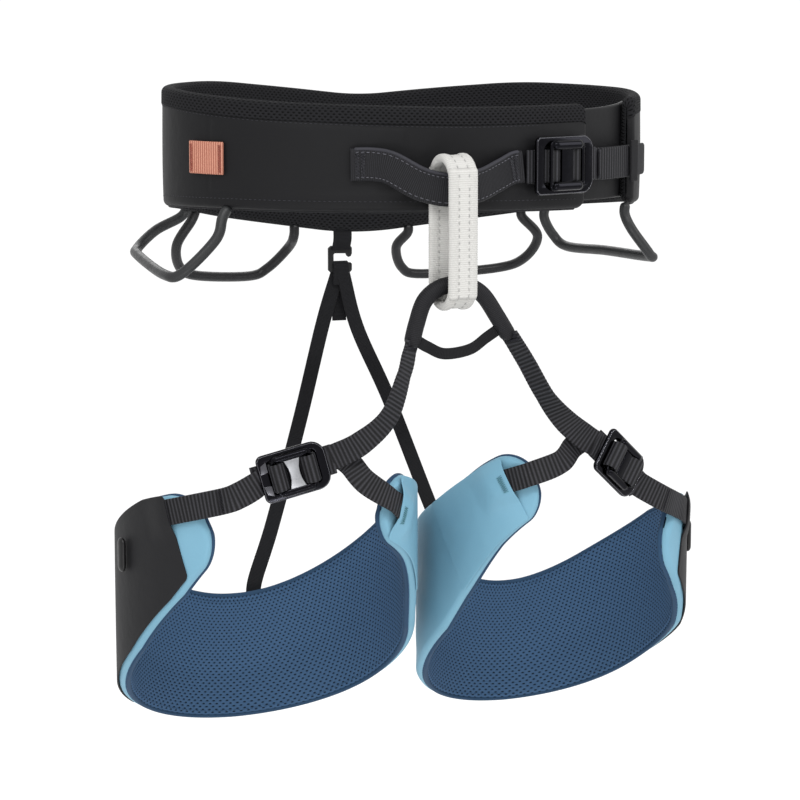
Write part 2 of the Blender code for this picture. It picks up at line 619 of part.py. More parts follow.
def riser():
    """The hook at the back and the two elastic straps that hold up the leg loops."""
    black = material("black_moulded_plastic", BLACK_WEB, 0.4)
    elastic = material("black_elastic", BLACK_WEB, 0.8)
    strap("riser_anchor_loop", rear_of((-8, 100.0, -61), (-8, 104.6, -66.2), (-8, 104.6, -68)),
          mm((1, 0, 0), (1, 0, 0), (1, 0, 0)), RISER_WIDTH, 1.2 * MM, elastic, steps=4)
    outline = ((-8, -9), (8, -9), (8, -5.5), (-4.5, -5.5), (-4.5, 3.5), (4.5, 3.5), (4.5, 0.5),
               (8, 0.5), (8, 7), (-8, 7))
    plate("riser_hook", [[(x * MM, y * MM) for x, y in outline]], 3.0 * MM,
          HOOK_CENTRE + mm((0, 4.0, -5.0))[0], (1, 0, 0), (0, 0, 1), black)
    strap("riser_tail", rear_of((-8, 110.8, -84), (-8, 110.8, -100), (-8, 110.0, -117)),
          mm((1, 0, 0), (1, 0, 0), (1, 0, 0)), RISER_WIDTH, RISER_THICKNESS, elastic, steps=4)
    lie = BELT_OUTSIDE + CLEARANCE + RISER_THICKNESS / 2
    routes = {-1: riser_route((-9.5, 108.3, -84), (-21, 105.6, -118), (-41, 94, -182), (-66, 76, -250)),
              1: riser_route((-6.5, 105.9, -84), (3, 103.6, -122), (23, 95, -171), (47, 74, -245))}
    for word, side in (("left", -1), ("right", 1)):
        end = leg_middle(side, RISER_LANDING[side]) + LEG_REAR_WIDTH / 2
        lands = leg_point(side, RISER_LANDING[side], 0.0, lie)
        points = np.vstack([routes[side], lands + np.array((0, 2 * MM, end + 4 * MM)),
                            lands + np.array((0, 0, end - 10 * MM))])
        sides = np.tile((1.0, side * 0.1, side * 0.3), (5, 1))
        sides[-1] = sides[-2] = leg_ahead(side, RISER_LANDING[side], lie)
        if sides[-1][0] < 0:
            sides[-2:] *= -1
        strap(f"riser_strap_{word}", points, sides, RISER_WIDTH, RISER_THICKNESS, elastic,
              steps=16, pivot=points[0])


def build():
    for old in list(bpy.data.objects):
        bpy.data.objects.remove(old)
    waist_belt()
    tie_in()
    belay_loop()
    lower_tie_in()
    gear_loops()
    waist_fastening()
    for word, side in (("left", -1), ("right", 1)):
        leg_loop(word, side, LEG_PIVOT[word])
        leg_straps(word, side, LEG_PIVOT[word])
        toggle(word, side)
    riser()


build()
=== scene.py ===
"""Looks of a sport climbing harness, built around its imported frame."""

import math

import bmesh
import bpy
import numpy as np
from mathutils import Matrix


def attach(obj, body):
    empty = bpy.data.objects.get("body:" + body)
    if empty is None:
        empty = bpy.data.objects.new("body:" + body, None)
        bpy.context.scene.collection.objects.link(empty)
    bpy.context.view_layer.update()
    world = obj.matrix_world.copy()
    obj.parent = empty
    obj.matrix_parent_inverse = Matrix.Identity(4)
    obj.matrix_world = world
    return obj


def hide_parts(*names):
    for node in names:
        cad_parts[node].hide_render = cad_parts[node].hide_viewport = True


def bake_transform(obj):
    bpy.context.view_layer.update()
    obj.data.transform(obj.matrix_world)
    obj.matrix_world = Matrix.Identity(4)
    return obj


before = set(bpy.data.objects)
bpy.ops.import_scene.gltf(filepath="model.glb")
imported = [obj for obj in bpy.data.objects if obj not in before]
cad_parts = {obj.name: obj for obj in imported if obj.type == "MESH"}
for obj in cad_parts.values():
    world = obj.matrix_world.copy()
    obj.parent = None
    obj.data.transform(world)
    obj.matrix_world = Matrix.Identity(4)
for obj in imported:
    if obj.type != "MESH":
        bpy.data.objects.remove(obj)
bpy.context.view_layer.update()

MM = 0.001
UP = np.array((0.0, 0.0, 1.0))
NORTH, SOUTH = (0, 1, 0), (0, -1, 0)
PI2 = 2 * math.pi
STRAP_WIDTH, STRAP_THICKNESS = 20 * MM, 1.7 * MM
WAIST_WEB = dict(body="waist", slot="webbing_black")

# Belt plan, repeated from the frame's design: an ellipse through the middle of the padding.
BELT_HALF = np.array((153.0, 103.0)) * MM
BELT_SHIFT = 3.0 * MM
# The belt's edges, as (degrees from the front, millimetres).
BELT_TOP = ((0, 36), (45, 38), (90, 43.5), (135, 45), (158, 40), (180, 34))
BELT_BOTTOM = ((0, -27), (60, -28), (90, -30), (120, -36), (145, -46), (180, -59))
BELT_LEFT_LIFT = 5.0 * MM
# The belt starts at WING_END and goes round the left and the rear to BODY_END, in degrees.
WING_END = 36.0
BODY_END = 60.0

# Leg loops, one value for each side: -1 is the left one.
LEG_X = {-1: 98.5 * MM, 1: 94.0 * MM}
LEG_Y = -29.0 * MM
LEG_HALF = {-1: np.array((91.0, 87.0)) * MM, 1: np.array((83.5, 89.0)) * MM}
LEG_MID = {-1: -263.0 * MM, 1: -266.0 * MM}
LEG_RISE = {-1: 69.0 * MM, 1: 71.0 * MM}
LEG_INNER_RISE = {-1: 2.0 * MM, 1: 13.0 * MM}
LEG_OUTER_RISE = {-1: 0.0 * MM, 1: -17.0 * MM}
# Where the crotch strap lies on the leg loop, as (degrees, height).
CROTCH = {-1: ((29.5, -0.1975), (36.0, -0.207)), 1: ((30.0, -0.186), (42.0, -0.194))}
INNER_TIP, OUTER_TIP = 28.0, -38.0


# ---------------------------------------------------------------- materials

def linear(code):
    """An sRGB hex value as linear red, green, blue and alpha."""
    parts = [int(code[i:i + 2], 16) / 255 for i in (1, 3, 5)]
    return (*[p / 12.92 if p <= 0.04045 else ((p + 0.055) / 1.055) ** 2.4 for p in parts], 1.0)


def add(tree, kind, inputs=(), **settings):
    """Adds a node, sets it up, and fills its inputs with values or links."""
    made = tree.nodes.new(kind)
    for key, value in settings.items():
        setattr(made, key, value)
    for key, value in dict(inputs).items():
        if isinstance(value, bpy.types.NodeSocket):
            tree.links.new(value, made.inputs[key])
        else:
            made.inputs[key].default_value = value
    return made


def math_node(tree, how, *values):
    """A Math node's result."""
    return add(tree, "ShaderNodeMath", dict(enumerate(values)), operation=how).outputs[0]


def new_material(name, **shader):
    """A material and its Principled shader, with constant values set on the sockets."""
    made = bpy.data.materials.new(name)
    made.use_nodes = True
    bsdf = made.node_tree.nodes["Principled BSDF"]
    for key, value in shader.items():
        bsdf.inputs[key.replace("_", " ")].default_value = value
    return made, made.node_tree, bsdf


def bumped(tree, bsdf, height, distance):
    """Bends the shading by a height, which stands for up to this distance."""
    bump = add(tree, "ShaderNodeBump", {"Height": height, "Distance": distance, "Strength": 1.0})
    tree.links.new(bump.outputs[0], bsdf.inputs["Normal"])


def mixed(tree, factor, low, high):
    """A colour that runs from low to high as the factor grows."""
    mix = add(tree, "ShaderNodeMix", {"Factor": factor}, data_type="RGBA")
    for socket, value in ((mix.inputs[6], low), (mix.inputs[7], high)):
        if isinstance(value, bpy.types.NodeSocket):
            tree.links.new(value, socket)
        else:
            socket.default_value = value
    return mix.outputs[2]


def noise(tree, vector, scale, detail=3.0):
    """Cloudy values from 0 to 1."""
    inputs = {"Vector": vector, "Scale": scale, "Detail": detail}
    return add(tree, "ShaderNodeTexNoise", inputs).outputs[0]


def woven(name, dark, light, pitch, yarn=0.8 * MM, rib_height=0.16 * MM, roughness=0.62, shine=0.18):
    """Woven nylon webbing: cross ribs one pitch apart and fine warp yarns in the bump; the colour runs from
    dark to light with a painted highlight on each rib crest, which gives rows of soft glints.
    """
    made, tree, bsdf = new_material(name, Roughness=roughness, Specular_IOR_Level=shine)
    uv = add(tree, "ShaderNodeUVMap", uv_map="UVMap").outputs[0]
    axes = add(tree, "ShaderNodeSeparateXYZ", {0: uv})
    rib = math_node(tree, "SINE", math_node(tree, "MULTIPLY", axes.outputs[0], PI2 / pitch))
    rib = math_node(tree, "MULTIPLY_ADD", rib, 0.5, 0.5)
    warp = math_node(tree, "SINE", math_node(tree, "MULTIPLY", axes.outputs[1], PI2 / yarn))
    warp = math_node(tree, "MULTIPLY_ADD", warp, 0.5, 0.5)
    grain = noise(tree, uv, 900.0)
    # Painted highlight: the colour is lighter on each rib crest, broken up by random grain.
    crest_highlight = math_node(tree, "MULTIPLY", math_node(tree, "POWER", rib, 1.5),
                    math_node(tree, "MULTIPLY_ADD", grain, 0.9, 0.35))
    tree.links.new(mixed(tree, crest_highlight, linear(dark), linear(light)), bsdf.inputs["Base Color"])
    height = math_node(tree, "MULTIPLY_ADD", warp, 0.35, rib)
    height = math_node(tree, "MULTIPLY_ADD", grain, 0.3, height)
    bumped(tree, bsdf, height, rib_height)
    return made


def spacer_mesh(name, base, shade, hole_shade, across=4.0 * MM, down=2.0 * MM):
    """Knitted spacer mesh: staggered rows of small open holes in a soft matte face; the holes are painted
    dark, as the shade inside them.
    """
    made, tree, bsdf = new_material(name, Roughness=0.85, Specular_IOR_Level=0.1)
    uv = add(tree, "ShaderNodeUVMap", uv_map="UVMap").outputs[0]
    axes = add(tree, "ShaderNodeSeparateXYZ", {0: uv})

    def lattice(shift):
        """The distance to the nearest hole's centre in a grid moved by this share of its pitch."""
        gaps = []
        for axis, size in ((0, across), (1, 2 * down)):
            place = math_node(tree, "MULTIPLY_ADD", axes.outputs[axis], 1 / size, shift)
            off = math_node(tree, "SUBTRACT", math_node(tree, "FRACT", place), 0.5)
            gaps.append(math_node(tree, "MULTIPLY", off, size))
        wide = math_node(tree, "MULTIPLY", gaps[0], 0.62)
        tall = math_node(tree, "MULTIPLY", gaps[1], gaps[1])
        return math_node(tree, "SQRT", math_node(tree, "MULTIPLY_ADD", wide, wide, tall))

    reach = math_node(tree, "MINIMUM", lattice(0.0), lattice(0.5))
    # Painted shade: the holes take a dark colour for the shade that falls inside them.
    hole_shade_mask = add(tree, "ShaderNodeMapRange", {0: reach, 1: 0.38 * MM, 2: 0.62 * MM, 3: 1.0, 4: 0.0}).outputs[0]
    dish = add(tree, "ShaderNodeMapRange", {0: reach, 1: 0.4 * MM, 2: 1.1 * MM, 3: 0.0, 4: 1.0}).outputs[0]
    cloth = mixed(tree, noise(tree, uv, 700.0), linear(shade), linear(base))
    tree.links.new(mixed(tree, hole_shade_mask, cloth, linear(hole_shade)), bsdf.inputs["Base Color"])
    grain = noise(tree, uv, 1600.0)
    bumped(tree, bsdf, math_node(tree, "MULTIPLY_ADD", grain, 0.25, dish), 0.35 * MM)
    return made


def laminate(name, base, shade, roughness=0.55):
    """Stretch woven laminate: a tight, almost smooth face with a faint grain and a soft sheen."""
    made, tree, bsdf = new_material(name, Roughness=roughness, Specular_IOR_Level=0.16)
    spot = add(tree, "ShaderNodeTexCoord").outputs["Object"]
    broad = noise(tree, spot, 22.0)
    fine = noise(tree, spot, 2600.0, 1.0)
    tree.links.new(mixed(tree, broad, linear(shade), linear(base)), bsdf.inputs["Base Color"])
    height = math_node(tree, "MULTIPLY_ADD", fine, 0.05, noise(tree, spot, 70.0))
    bumped(tree, bsdf, height, 0.5 * MM)
    return made


def moulded(name, base, roughness, metallic=0.0, grain=0.02 * MM, scratch=350.0, coat=0.0):
    """Moulded polymer or anodised metal: even colour, with a fine grain that breaks up the gloss."""
    made, tree, bsdf = new_material(name, Metallic=metallic, Coat_Weight=coat, Coat_Roughness=0.06)
    if not metallic:
        bsdf.inputs["Specular IOR Level"].default_value = 0.3
    spot = add(tree, "ShaderNodeTexCoord").outputs["Object"]
    wear = noise(tree, spot, scratch)
    spread = {0: wear, 1: 0.3, 2: 0.7, 3: roughness * 0.85, 4: roughness * 1.2}
    rough = add(tree, "ShaderNodeMapRange", spread)
    tree.links.new(rough.outputs[0], bsdf.inputs["Roughness"])
    light = tuple(min(1.0, c * 1.25) for c in linear(base)[:3]) + (1.0,)
    tree.links.new(mixed(tree, wear, linear(base), light), bsdf.inputs["Base Color"])
    bumped(tree, bsdf, noise(tree, spot, 1400.0), grain)
    return made


# The distance from one cross rib of a strap to the next.
RIB = 2.5 * MM
# Waist and leg straps, with strong cross ribs.
BLACK_WEB = woven("nylon_webbing_black_woven", "#070709", "#333337", RIB)
# Upper tie-in webbing, of a finer and flatter weave.
FINE_WEB = woven("nylon_webbing_black_fine_woven", "#0b0b0d", "#232327", 1.2 * MM, 0.9 * MM, 0.12 * MM)
# Sleeve of the lower tie-in arch.
SLEEVE = woven("nylon_sleeve_black_woven", "#0c0c0e", "#1e1e22", 1.1 * MM, rib_height=0.1 * MM)
# Belay loop.
WHITE_WEB = woven("polyamide_webbing_white_woven", "#aaa9a6", "#b9b8b5", 1.3 * MM, 0.9 * MM, 0.14 * MM, 0.7)
# Clip tab on the belt.
CORAL_WEB = woven("nylon_webbing_coral_woven", "#8d5444", "#bd8a76", 1.7 * MM, 0.9 * MM)
# Riser straps, strap keeper and the arch's cross strap.
ELASTIC = woven("elastic_black_knitted", "#0b0b0d", "#19191c", 0.9 * MM, 0.9 * MM, 0.08 * MM, 0.8)
# Belt lining, with its lip over the upper edge.
BLACK_MESH = spacer_mesh("spacer_mesh_black_knitted", "#1e1e20", "#161618", "#020202", 3.4 * MM, 1.7 * MM)
# Leg loop linings.
BLUE_MESH = spacer_mesh("spacer_mesh_blue_knitted", "#3c5673", "#304863", "#0b141f")
# Belt shell and overlap tongue.
BLACK_SHELL = laminate("stretch_laminate_black", "#0f0f11", "#0c0c0e")
# Panels at the outer thighs.
COVER = laminate("stretch_laminate_charcoal", "#19191b", "#151517", 0.6)
# Leg loop shells and flaps.
BLUE_SHELL = laminate("stretch_laminate_blue", "#6e98ac", "#5f889b")
# Piping and lining stitches of the leg loops.
PIPING = laminate("binding_tape_blue", "#263f58", "#1d344b", 0.7)
# Binding along the belt's lower edge.
DARK_EDGE = laminate("binding_tape_black", "#1b1b1d", "#131315", 0.7)
# Front gear loops.
FRONT_LOOP = moulded("polyurethane_charcoal_moulded", "#1d1e1f", 0.42)
# Rear gear loops.
REAR_LOOP = moulded("polyurethane_black_moulded", "#0e0e10", 0.42)
# Buckle frames, sliders and rails.
GLOSS = moulded("anodised_aluminium_black_polished", "#17171a", 0.12, 1.0, 0.003 * MM)
# The buckle frames' bright rims and facets: lighter metal painted as highlights on their edges.
RIM_HIGHLIGHT = moulded("anodised_aluminium_painted_edge_highlight", "#4a4a4e", 0.2, 0.9, 0.004 * MM)
# Centre bar of the left leg buckle.
SILVER = moulded("aluminium_brushed", "#88898c", 0.32, 1.0, 0.01 * MM, 900.0)
# Toggles and riser hook.
TRIM = moulded("nylon_black_moulded", "#0b0b0c", 0.35)
# Stitches on the belt's edges, arch and leg straps, and the tie-in webbing's piping.
THREAD_DARK = laminate("thread_charcoal_twisted", "#34343a", "#27272b", 0.6)
# Stitches on the tie-in webbing and waist strap.
THREAD_LIGHT = laminate("thread_slate_twisted", "#626268", "#4c4c52", 0.6)
# Belay loop stitches: white thread painted grey, as the shade of the dimples the stitches sit in.
THREAD_DIMPLE_SHADE = laminate("thread_white_painted_dimple_shade", "#a6a6a4", "#949493", 0.7)
# Bartacks on the leg flaps.
THREAD_TEAL = laminate("thread_teal_twisted", "#4f8f88", "#2d6468", 0.6)
# Bartacks on the clip tab.
THREAD_MAROON = laminate("thread_maroon_twisted", "#a4483f", "#7c2f2d", 0.6)


# ---------------------------------------------------------------- mesh tools

def walked(points):
    """The distance along a line of points from its first point to each of them."""
    return np.concatenate([[0], np.cumsum(np.linalg.norm(np.diff(points, axis=0), axis=1))])


def walked_flat(x, y):
    """The same for a line in a plane, given by its two coordinates."""
    return np.concatenate([[0], np.cumsum(np.hypot(np.diff(x), np.diff(y)))])


def unit(rows):
    """Each row over its own length."""
    return rows / np.linalg.norm(rows, axis=-1)[..., None]


def read_rows(at, places, rows):
    """Rows of three numbers that belong to these places, interpolated at others."""
    return np.stack([np.interp(at, places, rows[:, k]) for k in range(3)], axis=-1)


def headings(line, closed=False):
    """The unit direction in which a line runs at each of its points."""
    if closed:
        return unit(np.roll(line, -1, axis=0) - np.roll(line, 1, axis=0))
    return unit(np.gradient(line, axis=0))


def bulge(near, radius):
    """A quarter circle's height at this distance from where it starts."""
    return np.sqrt(np.maximum(radius ** 2 - (radius - near) ** 2, 0))


def swept(line, side, out, across, above):
    """A section carried along a line: across goes along the side direction, and above along out."""
    return line[:, None] + side[:, None] * across[..., None] + out[:, None] * above[..., None]


def finish_piece(name, mesh, material, body=None, slot=None, replaces=()):
    """Puts a mesh into the scene with its material and body, and hides the nodes it replaces. The slot is not
    used.
    """
    made = bpy.data.objects.new(name, mesh)
    bpy.context.scene.collection.objects.link(made)
    mesh.materials.append(material)
    mesh.shade_smooth()
    if body:
        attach(made, body)
    if replaces:
        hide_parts(*replaces)
    return made


def outward(mesh, merge=0.0, turn=True):
    """Merges points closer than merge, and turns all faces of a closed mesh outwards."""
    work = bmesh.new()
    work.from_mesh(mesh)
    if merge:
        bmesh.ops.remove_doubles(work, verts=work.verts, dist=merge)
    if turn:
        bmesh.ops.recalc_face_normals(work, faces=work.faces)
    work.to_mesh(mesh)
    work.free()


def grid_mesh(name, grid, uv=None, loop_u=False, loop_v=False, caps=False):
    """Quads over a grid of points (along u, across v). loop_u and loop_v close it; caps fill the two ends."""
    nu, nv = grid.shape[:2]
    i = np.arange(nu if loop_u else nu - 1)
    j = np.arange(nv if loop_v else nv - 1)
    i, j = [part.ravel() for part in np.meshgrid(i, j, indexing="ij")]
    i2, j2 = (i + 1) % nu, (j + 1) % nv
    quads = np.stack([i * nv + j, i2 * nv + j, i2 * nv + j2, i * nv + j2], axis=1)
    faces = quads.tolist()
    if caps:
        faces += [list(range(nv)), list(range((nu - 1) * nv, nu * nv))]
    mesh = bpy.data.meshes.new(name)
    mesh.from_pydata(grid.reshape(-1, 3).tolist(), [], faces)
    if uv is not None:
        u, v = uv
        span_u = np.append(u, 2 * u[-1] - u[-2])
        span_v = np.append(v, 2 * v[-1] - v[-2])
        corners = np.stack([np.stack([span_u[i + a], span_v[j + b]], axis=1)
                            for a, b in ((0, 0), (1, 0), (1, 1), (0, 1))], axis=1).reshape(-1, 2)
        layer = mesh.uv_layers.new(name="UVMap")
        values = np.zeros((len(mesh.loops), 2))
        values[:len(corners)] = corners
        layer.data.foreach_set("uv", values.ravel())
    return mesh


def curve_through(points, step, closed=False):
    """A Catmull-Rom curve through the points, read at even distances about one step apart."""
    points = np.asarray(points, float)
    if closed:
        padded = np.vstack([points[-1], points, points[:2]])
    else:
        padded = np.vstack([2 * points[0] - points[1], points, 2 * points[-1] - points[-2]])
    t = np.linspace(0, 1, 40, endpoint=False)[:, None]
    runs = []
    for a, b, c, d in zip(padded[:-3], padded[1:-2], padded[2:-1], padded[3:]):
        runs.append(0.5 * (2 * b + (c - a) * t + (2 * a - 5 * b + 4 * c - d) * t ** 2
                           + (3 * b - a - 3 * c + d) * t ** 3))
    runs.append(points[:1] if closed else points[-1:])
    fine = np.vstack(runs)
    reach = walked(fine)
    count = max(3, int(reach[-1] / step) + 1)
    wanted = np.linspace(0, reach[-1], count + 1)
    even = read_rows(wanted, reach, fine)
    return (even[:-1], wanted[:-1]) if closed else (even, wanted)


class Ribbon:
    """The middle line of a flat strap, with two directions at every step: side is the given direction
    made square to the run, and out is square to both."""

    def __init__(self, points, across, facing, step=0.55 * MM, closed=False):
        points = np.asarray(points, float)
        self.closed = closed
        self.line, self.u = curve_through(points, step, closed)
        self.length = self.u[-1]
        across = np.asarray(across, float)
        if across.ndim == 1:
            across = np.tile(across, (len(points), 1))
        if closed:
            points, across = np.vstack([points, points[:1]]), np.vstack([across, across[:1]])
        stops = walked(points)
        stops /= stops[-1]
        share = np.linspace(0, 1, len(self.line), endpoint=not closed)
        side = read_rows(share, stops, across)
        ahead = headings(self.line, closed)
        side -= (side * ahead).sum(axis=1)[:, None] * ahead
        self.side = unit(side)
        self.out = np.cross(ahead, self.side)
        if (self.out[0] * np.asarray(facing)).sum() < 0:
            self.out = -self.out

    def at(self, u, v, lift):
        """Points u along, v across and lift above the middle line."""
        line, side, out = (read_rows(u, self.u, table) for table in (self.line, self.side, self.out))
        return line + side * np.asarray(v)[..., None] + out * np.asarray(lift)[..., None]

    def carry(self, across, above):
        """A section carried along the strap."""
        return swept(self.line, self.side, self.out, across, above)

    def cut(self, span):
        """The part of the strap inside a slice of its steps."""
        piece = Ribbon.__new__(Ribbon)
        piece.line, piece.side, piece.out, piece.u = (
            table[span] for table in (self.line, self.side, self.out, self.u))
        piece.length, piece.closed = piece.u[-1], False
        return piece


def slab(width, thickness, edge=6, face=8):
    """A flat section with round edges, as (across, above): two half circles joined by flat faces."""
    r = thickness / 2
    flat = np.linspace(-1, 1, face + 1)[1:-1] * (width / 2 - r)
    turn = np.linspace(-math.pi / 2, math.pi / 2, edge + 1)
    right = np.stack([width / 2 - r + r * np.cos(turn), r * np.sin(turn)], axis=1)
    left = -right
    top = np.stack([flat[::-1], np.full(len(flat), r)], axis=1)
    bottom = np.stack([flat, np.full(len(flat), -r)], axis=1)
    return np.vstack([right, top, left, bottom])


def webbing(name, ribbon, width, thickness, material, rib=0.12 * MM, pitch=RIB, edge=6, face=8, pinch=0.0,
            **ties):
    """A slab section carried along a ribbon. Both faces rise and fall by the rib height once per pitch,
    and the selvedges move in and out with it. pinch rounds the corners of its two ends."""
    section = slab(width, thickness, edge, face)
    wave = 0.5 + 0.5 * np.cos(PI2 * ribbon.u / pitch)
    beside, level = section[None, :, 0], section[None, :, 1]
    on_face = np.abs(level) > thickness * 0.4
    above = level + np.sign(level) * rib * wave[:, None] * on_face
    scale = np.ones(len(ribbon.u))
    if pinch:
        near = np.clip(np.minimum(ribbon.u, ribbon.length - ribbon.u), 0, pinch)
        scale = 1 - (pinch - bulge(near, pinch)) / (width / 2)
    across = beside * (scale * (1 + 0.35 * rib / width * (wave * 2 - 1)))[:, None]
    mesh = grid_mesh(name, ribbon.carry(across, above), (ribbon.u, walked(section)), loop_u=ribbon.closed,
                     loop_v=True, caps=not ribbon.closed)
    outward(mesh)
    return finish_piece(name, mesh, material, **ties)


def round_bar(points, radius, step, sides=12, squash=1.0, up=UP, taper=True, closed=False):
    """A round section carried along a curve, as a grid. Its directions turn no more than the curve does,
    and with taper both ends close in a quarter circle."""
    line, u = curve_through(points, step, closed)
    ahead = headings(line, closed)
    first = np.cross(ahead[0], up)
    if np.linalg.norm(first) < 0.1:
        first = np.cross(ahead[0], (0.0, 1.0, 0.03))
    side = np.empty_like(line)
    for k, way in enumerate(ahead):
        first = first - way * (first @ way)
        first /= np.linalg.norm(first)
        side[k] = first
    turn = np.linspace(0, PI2, sides, endpoint=False)
    size = np.full(len(line), radius)
    if taper and not closed:
        near = np.clip(np.minimum(u, u[-1] - u), 0, radius)
        size = np.maximum(bulge(near, radius), radius * 0.12)
    across = np.cos(turn)[None, :] * size[:, None]
    above = np.sin(turn)[None, :] * size[:, None] * squash
    return swept(line, side, np.cross(side, ahead), across, above), u, turn * radius


def bar(name, points, radius, material, step=1.0 * MM, sides=14, squash=1.0, up=UP, taper=True,
        closed=False, **ties):
    """A round bar through the points; squash flattens its section."""
    grid, u, v = round_bar(points, radius, step, sides, squash, up, taper, closed)
    mesh = grid_mesh(name, grid, (u, v), loop_u=closed, loop_v=True, caps=not closed)
    outward(mesh)
    return finish_piece(name, mesh, material, **ties)


def threads(name, runs, radius, material, body, slot, sides=5):
    """Many short lengths of thread as one mesh: each run is a list of points in world space, and gets a
    round section that is thinner at its two ends."""
    turn = np.linspace(0, PI2, sides, endpoint=False)
    verts, faces, base = [], [], 0
    for run in runs:
        run = np.asarray(run, float)
        n = len(run)
        ahead = headings(run)
        side = unit(np.cross(ahead, (0.13, 0.21, 0.97)))
        size = np.full(n, radius)
        size[0] = size[-1] = radius * 0.35
        ring = swept(run, side, np.cross(side, ahead), np.cos(turn) * size[:, None],
                     np.sin(turn) * size[:, None])
        verts.append(ring.reshape(-1, 3))
        i, j = [a.ravel() for a in np.meshgrid(np.arange(n - 1), np.arange(sides), indexing="ij")]
        here, after = base + i * sides, base + (i + 1) * sides
        j2 = (j + 1) % sides
        faces += np.stack([here + j, here + j2, after + j2, after + j], axis=1).tolist()
        faces.append((base + np.arange(sides)[::-1]).tolist())
        faces.append((base + (n - 1) * sides + np.arange(sides)).tolist())
        base += n * sides
    mesh = bpy.data.meshes.new(name)
    mesh.from_pydata(np.vstack(verts).tolist(), [], faces)
    outward(mesh)
    return finish_piece(name, mesh, material, body, slot)


def dashes(place, start, end, pitch=2.6 * MM, share=0.62, rise=0.25 * MM):
    """Running stitches on a surface: place(u, lift) gives a point, and each stitch is a short arch."""
    runs = []
    for u in np.arange(start, end, pitch):
        along = np.linspace(u, u + pitch * share, 5)
        runs.append(place(along, rise * np.sin(np.linspace(0, math.pi, 5))))
    return runs


def zigzag(place, u, half, start, end, pitch=0.9 * MM):
    """A bartack: thread that runs back and forth between u - half and u + half while v grows."""
    v = np.arange(start, end, pitch / 2)
    swing = np.where(np.arange(len(v)) % 2 == 0, u - half, u + half)
    return [place(swing, v)]


# ---------------------------------------------------------------- belt and leg surfaces

def heights(table, degrees):
    """Heights read from (degrees from the front, millimetres) and eased by a running mean."""
    degrees = np.abs((np.asarray(degrees, float) + 180) % 360 - 180)
    fine = np.linspace(0, 180, 181)
    rough = np.interp(fine, [r[0] for r in table], [r[1] for r in table]) * MM
    smooth = np.convolve(np.pad(rough, 8, mode="reflect"), np.ones(17) / 17, mode="valid")
    return np.interp(degrees, fine, smooth)


def on_belt(degrees, offset, height):
    """The belt's middle surface moved out along its normal."""
    angle = np.radians(np.asarray(degrees, float))
    east, south = np.sin(angle), -np.cos(angle)
    normal = unit(np.stack([east / BELT_HALF[0], south / BELT_HALF[1]], axis=-1))
    x = BELT_SHIFT + BELT_HALF[0] * east + normal[..., 0] * offset
    y = BELT_HALF[1] * south + normal[..., 1] * offset
    return np.stack([x, y, np.broadcast_to(height, x.shape)], axis=-1)


def belt_edges(degrees):
    """The heights of the belt's lower and upper edge; its left side is lifted."""
    lift = BELT_LEFT_LIFT * (1 - np.sin(np.radians(degrees))) / 2
    return heights(BELT_BOTTOM, degrees) + lift, heights(BELT_TOP, degrees) + lift


def eased(share):
    """A share from 0 to 1 that starts and ends gently: three squares less two cubes."""
    share = np.clip(share, 0.0, 1.0)
    return share ** 2 * (3 - 2 * share)


def leg_point(side, degrees, height, offset=0.0):
    """A point on a leg loop: an ellipse, eased to 15 percent larger over the last 45 degrees before the
    inner tip. Degrees run from the front towards the body's middle, and the offset goes out at that
    angle."""
    degrees = np.asarray(degrees, float)
    angle = np.radians(degrees)
    inner = eased((INNER_TIP + 45 - degrees % 360) / 45)
    flare = 1 + 0.15 * inner
    x = LEG_HALF[side][0] * np.sin(angle) * flare + offset * np.sin(angle)
    y = -LEG_HALF[side][1] * np.cos(angle) * flare - offset * np.cos(angle)
    return np.stack([side * (LEG_X[side] - x), LEG_Y + y, np.broadcast_to(height, x.shape)], axis=-1)


def leg_middle(side, degrees):
    """The height of a leg loop's middle: a cosine, highest in front, with both tips raised on their own."""
    wrapped = np.asarray(degrees, float) % 360
    level = LEG_MID[side] + LEG_RISE[side] * np.cos(np.radians(degrees))
    level = level + LEG_INNER_RISE[side] * eased((INNER_TIP + 45 - wrapped) / 45)
    return level + LEG_OUTER_RISE[side] * eased((wrapped - (360 + OUTER_TIP - 90)) / 90)


class Band:
    """A strip of padding on an upright wall: s runs along it, h across it, and off stands out from it."""

    def __init__(self, wall, middle, half, start, end):
        self.wall = wall
        fine = np.linspace(start, end, 1200)
        flat = wall(fine, 0.0, 0.0)[..., :2]
        reach = walked(flat)
        level = middle(fine)
        slope = np.arctan2(np.gradient(level), np.gradient(reach))
        self.walk = walked_flat(reach, level)
        self.tables = fine, reach, level, slope, half(fine)
        self.length = self.walk[-1]

    def half(self, s):
        """Half the strip's width here."""
        return np.interp(s, self.walk, self.tables[4])

    def at(self, s, h, off):
        """The point of the strip; past an end, the wall goes on at the same rate."""
        fine, reach, level, slope, _ = self.tables
        here = np.interp(s, self.walk, reach)
        tilt = np.interp(s, self.walk, slope)
        z = np.interp(s, self.walk, level) + h * np.cos(tilt)
        along = here - h * np.sin(tilt)
        ends = (fine[1] - fine[0]) / (reach[1] - reach[0])
        beyond = np.minimum(along, 0) + np.maximum(along - reach[-1], 0)
        return self.wall(np.interp(along, reach, fine) + ends * beyond, off, z)

    def locate(self, degrees, z):
        """(s, h) of the point on the wall at these degrees and this height."""
        fine, reach, level, slope, _ = self.tables
        order = np.argsort(fine)
        here = goal = float(np.interp(degrees, fine[order], reach[order]))
        for _ in range(8):
            tilt = np.interp(here, reach, slope)
            h = (z - np.interp(here, reach, level)) / math.cos(tilt)
            here = goal + h * math.sin(tilt)
        return float(np.interp(here, reach, self.walk)), float(h)


